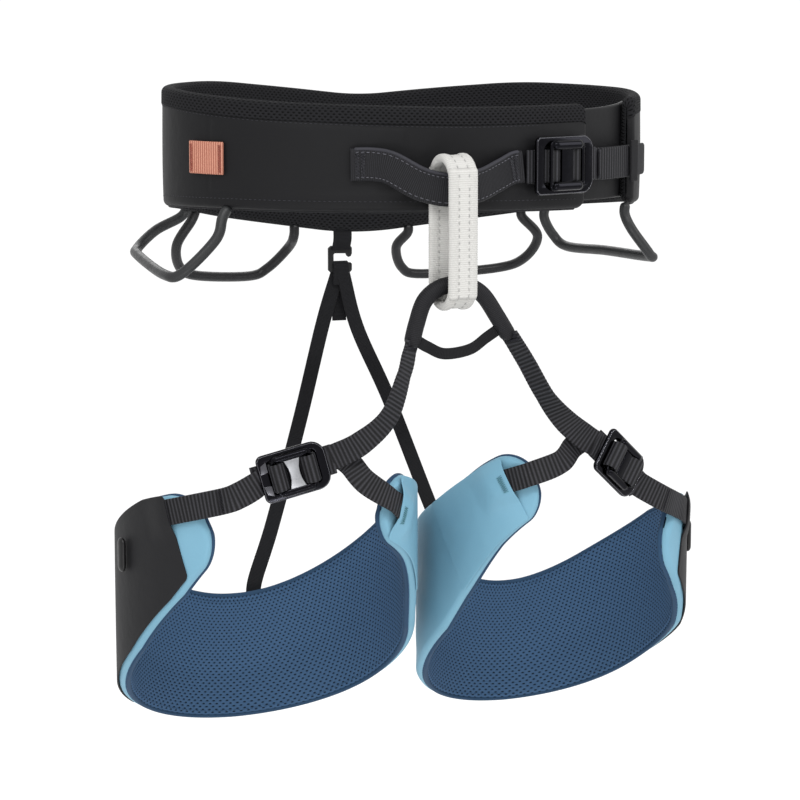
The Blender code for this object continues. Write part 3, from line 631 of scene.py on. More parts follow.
def run_samples(length, corner, step):
    """Distances along a band, close together where its ends are rounded."""
    turn = corner * (1 - np.cos(np.linspace(0.04, math.pi / 2, 22)))
    middle = np.arange(corner + step, length - corner - step / 2, step)
    return np.concatenate([turn, middle, length - turn[::-1]])


def corner_cut(s, length, size, radius):
    """How much of the size is left where both ends are rounded by the radius."""
    near = np.clip(np.minimum(s, length - s), 0, radius)
    return np.maximum(size - radius + bulge(near, radius), 0.02 * MM)


def half_section(rows, steps):
    """The outer half of a padded section, from its upper edge down, as (share of the straight part, rise,
    offset): a quarter circle, a straight face and a quarter circle."""
    turn = np.linspace(0, math.pi / 2, steps)
    flat = np.linspace(1, -1, rows)[1:-1]
    return (np.concatenate([np.ones(steps), flat, -np.ones(steps)]),
            np.concatenate([np.cos(turn), np.zeros(len(flat)), -np.cos(turn[::-1])]),
            np.concatenate([np.sin(turn), np.ones(len(flat)), np.sin(turn[::-1])]))


def skin(name, band, pad, part, material, corners, step=1.6 * MM, crown=1.2 * MM, puff=None, wall=0.7 * MM,
         lip=0.0, proud=0.0, rows=34, **ties):
    """Half of a padded section: straight faces 2 pads apart, joined by half circles of radius pad at both
    edges, with a crowned face. part is "outer" or "inner"; a lip moves the seam from the edge onto the
    outer face."""
    s = run_samples(band.length, corners, step)
    thick = corner_cut(s, band.length, pad, pad)
    half = np.maximum(corner_cut(s, band.length, band.half(s), corners), thick)
    straight = (half - thick)[:, None]
    lin, rise, off = half_section(rows, 9)
    off = (1.0 if part == "outer" else -1.0) * off
    if lip and part == "inner":
        back = np.linspace(math.pi / 2, 0, 9, endpoint=False)
        lin = np.concatenate([np.full(7, 2.0), np.ones(9), lin])
        rise = np.concatenate([np.linspace(-1, 0, 7, endpoint=False), np.cos(back), rise])
        off = np.concatenate([np.ones(7), np.sin(back), off])
    h = np.where(lin[None] > 1.5, straight + rise[None] * lip,
                 straight * np.minimum(lin, 1)[None] + thick[:, None] * rise[None])
    if lip and part == "outer":
        h = np.minimum(h, straight - lip * 0.86)
        keep = np.concatenate([[8], np.flatnonzero(lin < 1.0)])
        h, off = h[:, keep], off[keep]
    swell = crown * np.clip(1 - (h / np.maximum(half, 1e-6)[:, None]) ** 2, 0, 1) * (thick / pad)[:, None]
    out = off[None] * (thick[:, None] + swell)
    out = out + proud * np.sign(out) * np.minimum(1, np.abs(out) / pad)
    if puff is not None:
        out = out + puff(s[:, None], h, half[:, None]) * np.abs(off)[None]
    grid = band.at(np.broadcast_to(s[:, None], h.shape), h, out)
    widest = np.argmax(half)
    mesh = grid_mesh(name, grid, (s, walked_flat(h[widest], out[widest])))
    outward(mesh, 1e-7, turn=False)
    face_out(mesh, band, part)
    made = finish_piece(name, mesh, material, **ties)
    thickness = made.modifiers.new("wall", "SOLIDIFY")
    thickness.thickness = wall
    thickness.offset = -1.0
    return made


def face_out(mesh, band, part):
    """Turns an open skin's faces away from the padding. Weighted by area, an outer skin's normals point
    away from the band's middle and an inner skin's point to it."""
    centre = band.at(np.linspace(0, band.length, 9), 0.0, 0.0).mean(axis=0)
    mesh.update()
    count = len(mesh.polygons)
    normals, places, areas = np.empty(count * 3), np.empty(count * 3), np.empty(count)
    for word, values in (("normal", normals), ("center", places), ("area", areas)):
        mesh.polygons.foreach_get(word, values)
    reach = places.reshape(-1, 3) - centre
    reach[:, 2] = 0
    agree = ((normals.reshape(-1, 3) * reach).sum(axis=1) * areas).sum()
    if (agree < 0) == (part == "outer"):
        mesh.flip_normals()


def ripples(seed, size, lengths):
    """A gentle uneven surface: the sum of seven waves that run in different directions."""
    rng = np.random.default_rng(seed)
    waves = [(rng.uniform(-1, 1), rng.uniform(-1, 1), rng.uniform(*lengths), rng.uniform(0, PI2))
             for _ in range(7)]

    def height(s, h, half):
        """The height at s along and h across; half is taken because a puff is called with it."""
        total = 0.0
        for a, b, wave, phase in waves:
            total = total + np.sin(PI2 * (a * s + b * h) / wave + phase)
        return size * total / 3
    return height


def full_section(rows):
    """A closed padded section: the outer half, and the same turned over."""
    lin, rise, off = half_section(rows, 7)
    back = slice(-2, 0, -1)
    return tuple(np.concatenate(pair) for pair in ((lin, lin[back]), (rise, rise[back]), (off, -off[back])))


def pillow(name, band, pad, material, corners, step=1.6 * MM, crown=0.3 * MM, lift=None, rows=16, shear=0.0,
           begin=0.0, **ties):
    """A closed strip of thin padding on a band, from begin to the band's end. lift(s, h) moves both of its
    faces outwards, and shear slants its first end."""
    run = band.length - begin
    s = run_samples(run, corners, step)
    thick = corner_cut(s, run, pad, pad)
    half = np.maximum(corner_cut(s, run, band.half(s + begin), corners), thick)
    lin, rise, off = full_section(rows)
    h = (half - thick)[:, None] * lin[None] + thick[:, None] * rise[None]
    swell = crown * (1 - np.clip(h / half[:, None], -1, 1) ** 2) * (thick / pad)[:, None]
    out = off[None] * (thick[:, None] + swell)
    if lift is not None:
        out = out + lift(s[:, None] + begin, h)
    along = s[:, None] + begin + shear * (1 - s / run)[:, None] * h / half.max()
    middle = len(s) // 2
    mesh = grid_mesh(name, band.at(along, h, out), (s, walked_flat(h[middle], out[middle])), loop_v=True,
                     caps=True)
    outward(mesh)
    return finish_piece(name, mesh, material, **ties)


def outline(band, corners, inset, off, count=900):
    """Evenly spaced points once round a band, inset from its edge, and the distance round."""
    s = run_samples(band.length, corners, 1.5 * MM)
    half = np.maximum(corner_cut(s, band.length, band.half(s), corners) - inset, 0.0)
    s = np.clip(s, inset, band.length - inset)
    loop = np.vstack([band.at(s, half, off), band.at(s[::-1], -half[::-1], off)])
    loop = loop[np.append(np.linalg.norm(np.diff(loop, axis=0), axis=1) > 1e-5, True)]
    ring = np.vstack([loop, loop[:1]])
    reach = walked(ring)
    return read_rows(np.linspace(0, reach[-1], count, endpoint=False), reach, ring), reach[-1]


def line_of_stitches(band, corners, inset, off, pitch=3.0 * MM, share=0.6):
    """Stitches along a band's outline, one per pitch and each this share of it long."""
    count = 2400
    points, total = outline(band, corners, inset, off, count)
    reach = np.linspace(0, total, count, endpoint=False)
    return [read_rows(np.linspace(start, start + pitch * share, 4), reach, points)
            for start in np.arange(0, total - pitch, pitch)]


def plate(name, outlines, thickness, bevel, centre, right, up, material, **ties):
    """A flat plate with rounded edges: each outline is a closed list of (right, up) points; the later ones
    are holes. It stands on the centre, facing right x up."""
    curve = bpy.data.curves.new(name, "CURVE")
    curve.dimensions = "2D"
    curve.fill_mode = "BOTH"
    curve.extrude = thickness / 2 - bevel
    curve.bevel_depth = bevel
    curve.bevel_resolution = 3
    curve.offset = -bevel
    for points in outlines:
        spline = curve.splines.new("POLY")
        spline.points.add(len(points) - 1)
        spline.points.foreach_set("co", np.array([(x, y, 0.0, 1.0) for x, y in points]).ravel())
        spline.use_cyclic_u = True
    holder = bpy.data.objects.new(name + "_curve", curve)
    bpy.context.scene.collection.objects.link(holder)
    bpy.context.view_layer.update()
    mesh = bpy.data.meshes.new_from_object(holder.evaluated_get(bpy.context.evaluated_depsgraph_get()))
    bpy.data.objects.remove(holder)
    out = np.cross(right, up)
    turn = Matrix([[right[k], up[k], out[k], centre[k]] for k in range(3)] + [[0, 0, 0, 1]])
    mesh.materials.clear()
    mesh.transform(turn)
    outward(mesh, 1e-6)
    made = finish_piece(name, mesh, material, **ties)
    mesh.set_sharp_from_angle(angle=math.radians(35))
    return made


def rounded(width, height, radii, centre=(0.0, 0.0)):
    """A rectangle with its own corner radius at each corner, from the upper right round to the left."""
    points = []
    signs = ((1, 1), (-1, 1), (-1, -1), (1, -1))
    for k, ((sx, sy), r) in enumerate(zip(signs, radii)):
        for turn in np.linspace(0, math.pi / 2, 7) + k * math.pi / 2:
            points.append((centre[0] + sx * (width / 2 - r) + r * math.cos(turn),
                           centre[1] + sy * (height / 2 - r) + r * math.sin(turn)))
    return points


# ---------------------------------------------------------------- waist belt

def belt_wall(degrees, off, z):
    """The belt's plan, with its padding centred."""
    return on_belt(degrees, off - 0.5 * MM, z)


def belt_middle(degrees):
    """The mean of the belt's two edges."""
    low, high = belt_edges(degrees)
    return (low + high) / 2


def belt_half(degrees):
    """Half the distance between the belt's two edges."""
    low, high = belt_edges(degrees)
    return (high - low) / 2


def belt_puff(band):
    """A raised outline on the left front and soft ripples elsewhere."""
    ripple = ripples(3, 0.22 * MM, (0.05, 0.16))
    lip = 9.0 * MM

    def raised(s, h, half):
        """The ripples, less a bell-shaped groove along the outline, plus a step that rises inside it."""
        degrees = np.interp(s, band.walk, band.tables[0])
        across = np.minimum(degrees + 64, -12 - degrees) * 2.2 * MM
        upward = np.minimum(half - lip - 3 * MM - h, h + half - 10 * MM)
        inside = np.minimum(across, upward)
        step = eased(np.clip(inside / (2.2 * MM) + 0.5, 0, 1))
        groove = np.exp(-(inside / (1.3 * MM)) ** 2)
        return ripple(s, h, half) - 0.35 * MM * groove + 0.25 * MM * step
    return raised


def waist_belt():
    """The belt's two crowned skins, its lower binding, the stitches along both edges and the tongue."""
    band = Band(belt_wall, belt_middle, belt_half, WING_END, BODY_END - 360)
    corner, lip = 7 * MM, 7.0 * MM
    shell = skin("waist_shell_laminate", band, 3.9 * MM, "outer", BLACK_SHELL, corner, crown=0.5 * MM,
                 puff=belt_puff(band), lip=lip, body="waist", slot="stretch_shell_black",
                 replaces=("waist_shell", "waist_foam"))
    lining = skin("waist_lining_mesh", band, 4.0 * MM, "inner", BLACK_MESH, corner, crown=0.4 * MM,
                  puff=ripples(5, 0.2 * MM, (0.04, 0.12)), lip=lip, proud=0.35 * MM, body="waist",
                  slot="spacer_mesh_black", replaces=("waist_mesh_lining",))
    s = np.linspace(6 * MM, band.length - 6 * MM, 500)
    low = band.at(s, -band.half(s) + 0.4 * MM, 0.0)
    bar("waist_lower_binding", low, 1.25 * MM, DARK_EDGE, 2 * MM, 10, body="waist",
        slot="stretch_shell_black")
    runs = []
    for edge in (lambda u: band.half(u) - 12.0 * MM, lambda u: -band.half(u) + 6.5 * MM):
        for start in np.arange(10 * MM, band.length - 10 * MM, 3 * MM):
            u = np.linspace(start, start + 1.8 * MM, 4)
            runs.append(band.at(u, edge(u), 4.15 * MM))
    threads("waist_edge_stitches", runs, 0.2 * MM, THREAD_DARK, "waist", "stretch_shell_black")
    tongue = Band(lambda d, off, z: on_belt(d, off - 7.3 * MM, z), belt_middle,
                  lambda d: belt_half(d) - 4 * MM, 74, 18)
    made = pillow("waist_overlap_tongue_padded", tongue, 1.9 * MM, BLACK_SHELL, 9 * MM, body="waist",
                  slot="stretch_shell_black", replaces=("waist_overlap_tongue",))


# ---------------------------------------------------------------- front webbing

def tie_in():
    """The upper tie-in webbing, bowed out from the belt's front, with its piping and stitches."""
    rows = ((-25, 6.4, 5), (-20, 6.4, 5), (-16, 10.4, 3), (-10, 17.5, -6), (-4.5, 23, -9.5),
            (2, 19.5, -8), (8, 11.4, -3), (12.4, 6.4, 1), (15.2, 6.4, 2))
    ribbon = Ribbon([on_belt(a, off * MM, z * MM) for a, off, z in rows], UP, SOUTH)
    webbing("tie_in_webbing_woven", ribbon, STRAP_WIDTH, 3.4 * MM, FINE_WEB, 0.03 * MM, 1.2 * MM,
            replaces=("upper_tie_in_webbing",), **WAIST_WEB)
    runs = []
    for v in (-7.6 * MM, 7.4 * MM):
        runs += dashes(lambda u, lift: ribbon.at(u, v, 1.75 * MM + lift), 3 * MM, ribbon.length - 3 * MM,
                       3.2 * MM)
    edge = [ribbon.at(u, 9.4 * MM, 1.0 * MM) for u in np.linspace(2 * MM, ribbon.length - 2 * MM, 40)]
    bar("tie_in_upper_piping", edge, 1.1 * MM, THREAD_DARK, 1 * MM, 8, **WAIST_WEB)
    for u in (4 * MM, 7.5 * MM, ribbon.length - 5 * MM, ribbon.length - 8.5 * MM):
        runs += zigzag(lambda a, b: ribbon.at(a, b, 2.05 * MM), u, 1.3 * MM, -8.5 * MM, 8.5 * MM)
    threads("tie_in_stitches", runs, 0.24 * MM, THREAD_LIGHT, **WAIST_WEB)


def corded(width, thickness, cord, dip):
    """A flat section with a round cord along both edges and a lower middle."""
    base = slab(width, thickness, 8, 18)
    inner = width / 2 - cord
    lower = np.clip((inner - np.abs(base[:, 0])) / (1.4 * MM), 0, 1)
    base[:, 1] -= np.sign(base[:, 1]) * dip * eased(lower)
    return base


def belay():
    """The belay loop: two half circles joined by straights, with a corded section whose two cords carry
    slanting ribs, and two rows of stitches on both faces."""
    turn = math.radians(8.0)
    side = np.array((math.cos(turn), math.sin(turn), 0.0))
    out = np.array((math.sin(turn), -math.cos(turn), 0.0))
    centre = np.array((-8.0, -127.5, -34.5)) * MM
    half, straight = 13.0 * MM, 31.5 * MM
    arcs = []
    for start, level in ((0.0, straight), (math.pi, -straight)):
        for a in np.linspace(start, start + math.pi, 9):
            arcs.append(centre + out * half * math.cos(a) + UP * (level + half * math.sin(a)))
    ribbon = Ribbon(arcs, side, out, 0.45 * MM, closed=True)
    section = corded(19 * MM, 4.9 * MM, 4.4 * MM, 0.85 * MM)
    beside, level = section[None, :, 0], section[None, :, 1]
    phase = np.cos(PI2 * (ribbon.u[:, None] + np.abs(beside) * 0.8) / (1.5 * MM))
    on_cord = (np.abs(beside) > 5.4 * MM) * 0.2 * MM
    above = level + np.sign(level) * on_cord * phase
    grid = ribbon.carry(np.broadcast_to(beside, above.shape), above)
    mesh = grid_mesh("belay_loop_woven", grid, (ribbon.u, walked(section)), loop_u=True, loop_v=True)
    outward(mesh)
    finish_piece("belay_loop_woven", mesh, WHITE_WEB, "belay", "webbing_white", ("belay_loop",))
    runs = []
    for v in (-3.3 * MM, 3.3 * MM):
        for face in (1, -1):
            runs += dashes(lambda u, lift: ribbon.at(u, v, face * (1.62 * MM + lift)), 2 * MM,
                           ribbon.length - 4 * MM, 4 * MM, 0.5)
    # The stitches carry the grey painted shade of their dimples.
    threads("belay_loop_stitches", runs, 0.3 * MM, THREAD_DIMPLE_SHADE, "belay", "webbing_white")


def lower_tie_in():
    """The arch's round sleeve, a seam on its inner side and the strap across its feet."""
    path = np.array(((-33, -123, -104), (-30, -124, -90), (-25, -126, -75), (-14, -127.5, -67),
                     (0, -127.5, -67), (11, -127, -73), (21, -126, -87), (30, -124.5, -101))) * MM
    bar("tie_in_arch_sleeve", path, 5.1 * MM, SLEEVE, 0.8 * MM, 26, up=np.array((0.0, 1.0, 0.0)),
        replaces=("lower_tie_in_arch",), **WAIST_WEB)
    seam = path + np.array((0, -0.4, 0)) * MM
    middle = np.array((0.0, -127.0, -96.0)) * MM
    seam = seam + (middle - seam) / np.linalg.norm(middle - seam, axis=1)[:, None] * 4.6 * MM
    line, reach = curve_through(seam[1:-1], 1 * MM)
    runs = [read_rows(np.linspace(a, a + 1.6 * MM, 4), reach, line)
            for a in np.arange(2 * MM, reach[-1] - 2 * MM, 2.6 * MM)]
    threads("tie_in_arch_seam", runs, 0.28 * MM, THREAD_DARK, **WAIST_WEB)
    cross = np.array(((-28.5, -124.2, -100.5), (-22.5, -124, -104), (-13, -127, -108), (3, -127, -106),
                      (14.5, -125, -99.5), (24.5, -125.3, -93))) * MM
    webbing("tie_in_cross_strap_woven", Ribbon(cross, UP, SOUTH), 7 * MM, 1.8 * MM, ELASTIC, 0.08 * MM,
            1.6 * MM, replaces=("tie_in_cross_strap",), **WAIST_WEB)


def into_belt(end):
    """The point inside the belt's lower edge that is nearest to a gear loop's end."""
    degrees = math.degrees(math.atan2((end[0] - BELT_SHIFT) / BELT_HALF[0], -end[1] / BELT_HALF[1]))
    return on_belt(degrees, 0.5 * MM, float(belt_edges(degrees)[0]) + 1.5 * MM)


def gear_loops():
    """Four round moulded loops, whose ends go into the belt's lower edge."""
    loops = {
        "front_left": ((-132, -56, -29), (-137, -58, -42), (-157, -54, -62), (-165, -40, -64),
                       (-168, 18, -58), (-163, 43, -56), (-148, 55, -46), (-131, 57, -38)),
        "front_right": ((134, -53, -34), (138, -56, -44), (151, -54, -60), (155, -43, -63), (147, 10, -64),
                        (136, 52, -65), (130, 63, -58), (123, 62, -46)),
        "rear_left": ((-122, 64, -41), (-130, 73, -58), (-125, 86, -74), (-111, 95, -81), (-70, 116, -85),
                      (-56, 118, -80), (-44, 110, -66), (-43, 99, -57)),
        "rear_right": ((111, 73, -46), (124, 77, -60), (119, 89, -76), (103, 103, -84), (54, 119, -88),
                       (40, 119, -83), (33, 110, -68), (38, 100, -57))}
    for word, points in loops.items():
        front = word.startswith("front")
        path = np.array(points) * MM
        path = np.vstack([into_belt(path[0]), path, into_belt(path[-1])])
        bar(f"gear_loop_{word}_moulded", path, 3.3 * MM, FRONT_LOOP if front else REAR_LOOP, 1.2 * MM, 22,
            body="gear_" + word, slot="plastic_grey" if front else "plastic_black",
            replaces=("gear_loop_" + word,))


# ---------------------------------------------------------------- buckles

def buckle(word, body, slider_body, centre, right, up, length, height, wide, bar_width, rolled=True,
           tone=False):
    """A double buckle: a rounded frame with a thin rim of lighter metal, a painted highlight along its edge,
    and a slider in front with a bar between two slots. The webbing shows in the slots, or is rolled over the
    slider's outer bars. tone adds a silver waisted bar and bright facets, which are painted highlights.
    Lengths are in millimetres."""
    centre = np.array(centre) * MM
    right = np.array(right) / np.linalg.norm(right)
    up = np.array(up) - right * (np.array(up) @ right)
    up = up / np.linalg.norm(up)
    out = np.cross(right, up)
    metal = dict(slot="buckle_metal")

    def spot(a, b, o):
        """A point of the buckle, from millimetres to the right, up and out."""
        return centre + right * a * MM + up * b * MM + out * o * MM

    def corners(big, small):
        """Corner radii: the first at the right, the second at the left."""
        return big * MM, small * MM, small * MM, big * MM

    plate(f"{word}_frame_metal", [rounded(length * MM, height * MM, corners(8.5, 4)),
                                  rounded(length * 0.7 * MM, height * 0.66 * MM, corners(2.2, 2.2))],
          2.9 * MM, 1.2 * MM, centre, right, up, GLOSS, body=body, replaces=(f"{word}_frame",), **metal)
    # The rim: a thin ring of lighter metal, painted as a highlight along the frame's edge.
    rim = [spot(x / MM, y / MM, 1.3)
           for x, y in rounded((length - 1.6) * MM, (height - 1.6) * MM, corners(7.8, 3.4))]
    bar(f"{word}_frame_rim_highlight", rim, 0.25 * MM, RIM_HIGHLIGHT, 0.6 * MM, 8, taper=False, closed=True, body=body, **metal)
    wide_slider, high_slider = length * 0.6, height * 0.86
    slot_w, slot_h = (wide_slider - bar_width) / 2 - 2.0, wide + 0.7
    holes = [rounded(slot_w * MM, slot_h * MM, corners(1.0, 1.0), (k * (bar_width + slot_w) / 2 * MM, 0.0))
             for k in (-1, 1)]
    plate(f"{word}_slider_metal", [rounded(wide_slider * MM, high_slider * MM, corners(3.5, 3.5)), *holes],
          2.3 * MM, 0.8 * MM, spot(0, 0, 3.0), right, up, GLOSS, body=slider_body,
          replaces=(f"{word}_slider",), **metal)
    if tone:
        waist = [(x * bar_width * MM, y * slot_h * MM)
                 for x, y in ((0.62, 0.5), (0.42, 0.2), (0.38, 0), (0.42, -0.2), (0.62, -0.5))]
        sides = waist + [(-x, y) for x, y in waist[::-1]]
        plate(f"{word}_centre_bar_metal", [sides], 1.4 * MM, 0.5 * MM, spot(0, 0, 4.9), right, up, SILVER,
              body=slider_body, **metal)
        # The facets: thin plates of lighter metal at the frame's left corners, painted highlights.
        for k, part in ((-1, "lower"), (1, "upper")):
            facet_highlight = [(-0.475, 0.12), (-0.36, 0.14), (-0.36, 0.36), (-0.45, 0.30)]
            points = [(x * length * MM, k * y * height * MM) for x, y in facet_highlight]
            plate(f"{word}_facet_{part}", [points[::k]], 0.8 * MM, 0.3 * MM, spot(0, 0, 1.6), right, up, RIM_HIGHLIGHT,
                  body=body, **metal)
    rail_radius = (high_slider - slot_h) / 4 + 0.35
    for k, part in ((-1, "lower"), (1, "upper")):
        rail = [spot(x * wide_slider / 2, k * (high_slider / 2 - rail_radius), 4.0)
                for x in (-0.86, -0.3, 0.3, 0.86)]
        bar(f"{word}_rail_{part}", rail, rail_radius * MM, GLOSS, 0.6 * MM, 16, squash=0.8, up=out,
            body=slider_body, **metal)
    edge, inner = wide_slider / 2, bar_width / 2
    if rolled:
        rows = ((length * 0.6, -2.7), (length * 0.48, -2.5), (edge + 1.6, -0.4), (edge + 1.2, 3.8),
                (edge - 1.0, 6.6), (edge - 4.2, 6.5), (inner + 1.2, 3.4), (inner - 0.4, 0.9), (0.0, 0.7))
        under = [spot(x * length, 0, o) for x, o in ((-0.6, -3.5), (-0.4, -3.3), (0.4, -3.3), (0.6, -3.5))]
        webbing(f"{word}_under_strap_woven", Ribbon(under, up, out, 0.6 * MM), (wide + 1.5) * MM, 0.9 * MM,
                BLACK_WEB, 0.1 * MM, 2.1 * MM, body=body, slot="webbing_black")
    else:
        rows = ((length * 0.6, -2.7), (length * 0.44, -2.3), (edge - 1.2, -0.2), (edge - 3.4, 2.6),
                (inner + 2.2, 2.7), (inner, 0.8), (0.0, 0.6))
    for k, part in ((-1, "left"), (1, "right")):
        ribbon = Ribbon([spot(k * a, 0, o) for a, o in rows], up, out, 0.35 * MM)
        made = webbing(f"{word}_wrap_{part}_woven", ribbon, wide * MM, 1.3 * MM, BLACK_WEB, 0.2 * MM,
                       2.1 * MM, slot="webbing_black")
        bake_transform(made)


def waist_fastening():
    """The waist buckle with its strap, the strap's tail under an elastic keeper, and the coral tab."""
    def lying(first, last, count, off, level, facing):
        """A strap that lies along the belt from one angle to another."""
        line = [on_belt(a, off * MM, level * MM) for a in np.linspace(first, last, count)]
        return Ribbon(line, UP, facing)

    buckle("waist_buckle", "waist", "waist_slider", (72.97, -101.41, 2), (0.9501, 0.312, 0), (0, 0, 1), 45,
           36, 20, 9.0, rolled=False)
    run = lying(16.6, 62, 12, 5.3, 1, SOUTH)
    webbing("waist_strap_run_woven", run, STRAP_WIDTH, STRAP_THICKNESS, BLACK_WEB, 0.14 * MM,
            replaces=("waist_strap_run",), **WAIST_WEB)
    webbing("waist_strap_tail_woven", lying(38.5, 66, 10, 7.5, 1, (1, -1, 0)), STRAP_WIDTH, STRAP_THICKNESS,
            BLACK_WEB, 0.14 * MM, replaces=("waist_strap_tail",), pinch=3 * MM, **WAIST_WEB)
    webbing("waist_keeper_elastic", lying(52, 56, 4, 9.9, 1, (1, -1, 0)), 26 * MM, 1.5 * MM, ELASTIC,
            0.05 * MM, 1.0 * MM, body="keeper", slot="rubber_black", replaces=("waist_strap_keeper",))
    tab = lying(-71, -58.5, 6, 5.7, 7.5, (-1, -1, 0))
    webbing("coral_tab_woven", tab, STRAP_WIDTH, 1.8 * MM, CORAL_WEB, 0.1 * MM, 1.7 * MM, body="waist",
            slot="webbing_coral", replaces=("coral_clip_tab",))
    runs = []
    for u in (1.9 * MM, tab.length - 1.9 * MM):
        runs += zigzag(lambda a, b: tab.at(a, b, 1.15 * MM), u, 1.0 * MM, -8.8 * MM, 8.8 * MM, 1.1 * MM)
    threads("coral_tab_bartacks", runs, 0.3 * MM, THREAD_MAROON, "waist", "webbing_coral")
    runs = []
    for u in (1.5 * MM, 5 * MM, 8.5 * MM):
        runs += zigzag(lambda a, b: run.at(a, b, 1.15 * MM), u, 1.1 * MM, -8.5 * MM, 8.5 * MM)
    threads("waist_strap_bartacks", runs, 0.28 * MM, THREAD_LIGHT, **WAIST_WEB)


# ---------------------------------------------------------------- leg loops

LEG_WORD = {-1: "left", 1: "right"}
# The leg loops' whole width in millimetres, by degrees from the inner tip round the rear to the outer tip.
LEG_WIDTH = ((-332, -310, -270, -180, -90, -60, -38), (40, 49.6, 80, 83, 80, 64, 40))
# Where the outer strap lies on the leg loop, as (degrees, height).
OUTER_LANDING = {-1: ((-46, -0.2005), (-54, -0.204)), 1: ((-46, -0.219), (-54, -0.225))}
LEG_STRAP = dict(thickness=STRAP_THICKNESS, material=BLACK_WEB, rib=0.16 * MM, pitch=2.3 * MM)


def leg_ahead(side, first, last, offset):
    """The level direction along a leg loop's wall, from one angle to another."""
    step = leg_point(side, last, 0.0, offset) - leg_point(side, first, 0.0, offset)
    return step / np.linalg.norm(step)


def leg_half(degrees):
    """Half a leg loop's width, read from its table."""
    return np.interp(degrees, *LEG_WIDTH) * MM / 2


def leg_band(side, offset, inset, start, end):
    """The strip of a leg loop's wall between two angles, moved outwards by the offset, with both edges
    inset."""
    return Band(lambda d, off, z: leg_point(side, d, z, off + offset), lambda d: leg_middle(side, d),
                lambda d: leg_half(d) - inset, start, end)


def leg_padding(side):
    """A leg loop's two crowned skins, the piping round their edge and the stitches inside it."""
    word = LEG_WORD[side]
    body = word + "_leg"
    band = leg_band(side, -0.5 * MM, 0.0, OUTER_TIP, INNER_TIP - 360)
    corners = 17 * MM
    shell = skin(f"leg_shell_{word}_laminate", band, 4.0 * MM, "outer", BLUE_SHELL, corners, crown=0.4 * MM,
                 puff=ripples(11 + side, 0.42 * MM, (0.03, 0.09)), body=body, slot="stretch_shell_blue",
                 replaces=(f"leg_shell_{word}", f"leg_foam_{word}"))
    lining = skin(f"leg_lining_{word}_mesh", band, 4.0 * MM, "inner", BLUE_MESH, corners, crown=0.5 * MM,
                  puff=ripples(17 + side, 0.3 * MM, (0.03, 0.09)), body=body, slot="spacer_mesh_blue",
                  replaces=(f"leg_lining_{word}",))
    points, _ = outline(band, corners, 0.6 * MM, -2.0 * MM)
    bar(f"leg_piping_{word}", points[::3], 1.5 * MM, PIPING, 1.6 * MM, 10, taper=False, closed=True,
        body=body, slot="stretch_shell_blue")
    threads(f"leg_lining_stitches_{word}", line_of_stitches(band, corners, 4.2 * MM, -4.3 * MM), 0.2 * MM,
            PIPING, body, "spacer_mesh_blue")


def raised_by(band, first, last, rise, run):
    """A flap held up where a strap goes under it. first and last are (degrees, height) along the strap's
    middle. The rise is a flat-topped bell across it, and falls back within one run past the strap's end."""
    (s1, h1), (s2, h2) = band.locate(*first), band.locate(*last)

    def lift(s, h):
        centre = h1 + (h2 - h1) * np.minimum((s - s1) / (s2 - s1), 1.2)
        return rise * np.exp(-((h - centre) / (13 * MM)) ** 4) * (1 - eased((s - s2 - 2 * MM) / run))
    return lift


def leg_panels(side):
    """The black panel over the outer strap, and the blue flap over the crotch strap."""
    word = LEG_WORD[side]
    body = word + "_leg"
    begin = 21 * MM
    cover = leg_band(side, 4.35 * MM, 0.8 * MM, OUTER_TIP, -140)
    made = pillow(f"leg_cover_{word}_laminate", cover, 0.55 * MM, COVER, 3 * MM, crown=0.1 * MM,
                  lift=raised_by(cover, *OUTER_LANDING[side], 3.3 * MM, 20 * MM), rows=44, shear=-9 * MM,
                  begin=begin, body=body, slot="stretch_shell_black", replaces=(f"leg_cover_{word}",))
    float(2 * leg_half(-100.0))
    first, last = [(degrees - 360, z) for degrees, z in CROTCH[side]]
    begin = {-1: 8.0 * MM, 1: 14.0 * MM}[side]
    flap = leg_band(side, 4.3 * MM, 0.8 * MM, INNER_TIP - 360, INNER_TIP - 318)
    lift = raised_by(flap, first, last, 4.6 * MM, 20 * MM)
    made = pillow(f"leg_flap_{word}_laminate", flap, 0.45 * MM, BLUE_SHELL, 2 * MM, step=1.0 * MM,
                  crown=0.1 * MM, begin=begin, lift=lift, rows=44, body=body, slot="stretch_shell_blue")
    h = flap.locate(*last)[1] - 2 * MM
    teal = zigzag(lambda a, b: flap.at(a, h + b, lift(a, h + b) + 0.75 * MM), begin + 4.2 * MM, 1.7 * MM,
                  -5.5 * MM, 5.5 * MM, 1.2 * MM)
    threads(f"leg_flap_bartack_{word}", teal, 0.32 * MM, THREAD_TEAL, body, "stretch_shell_blue")
    float(2 * leg_half(-310.0))


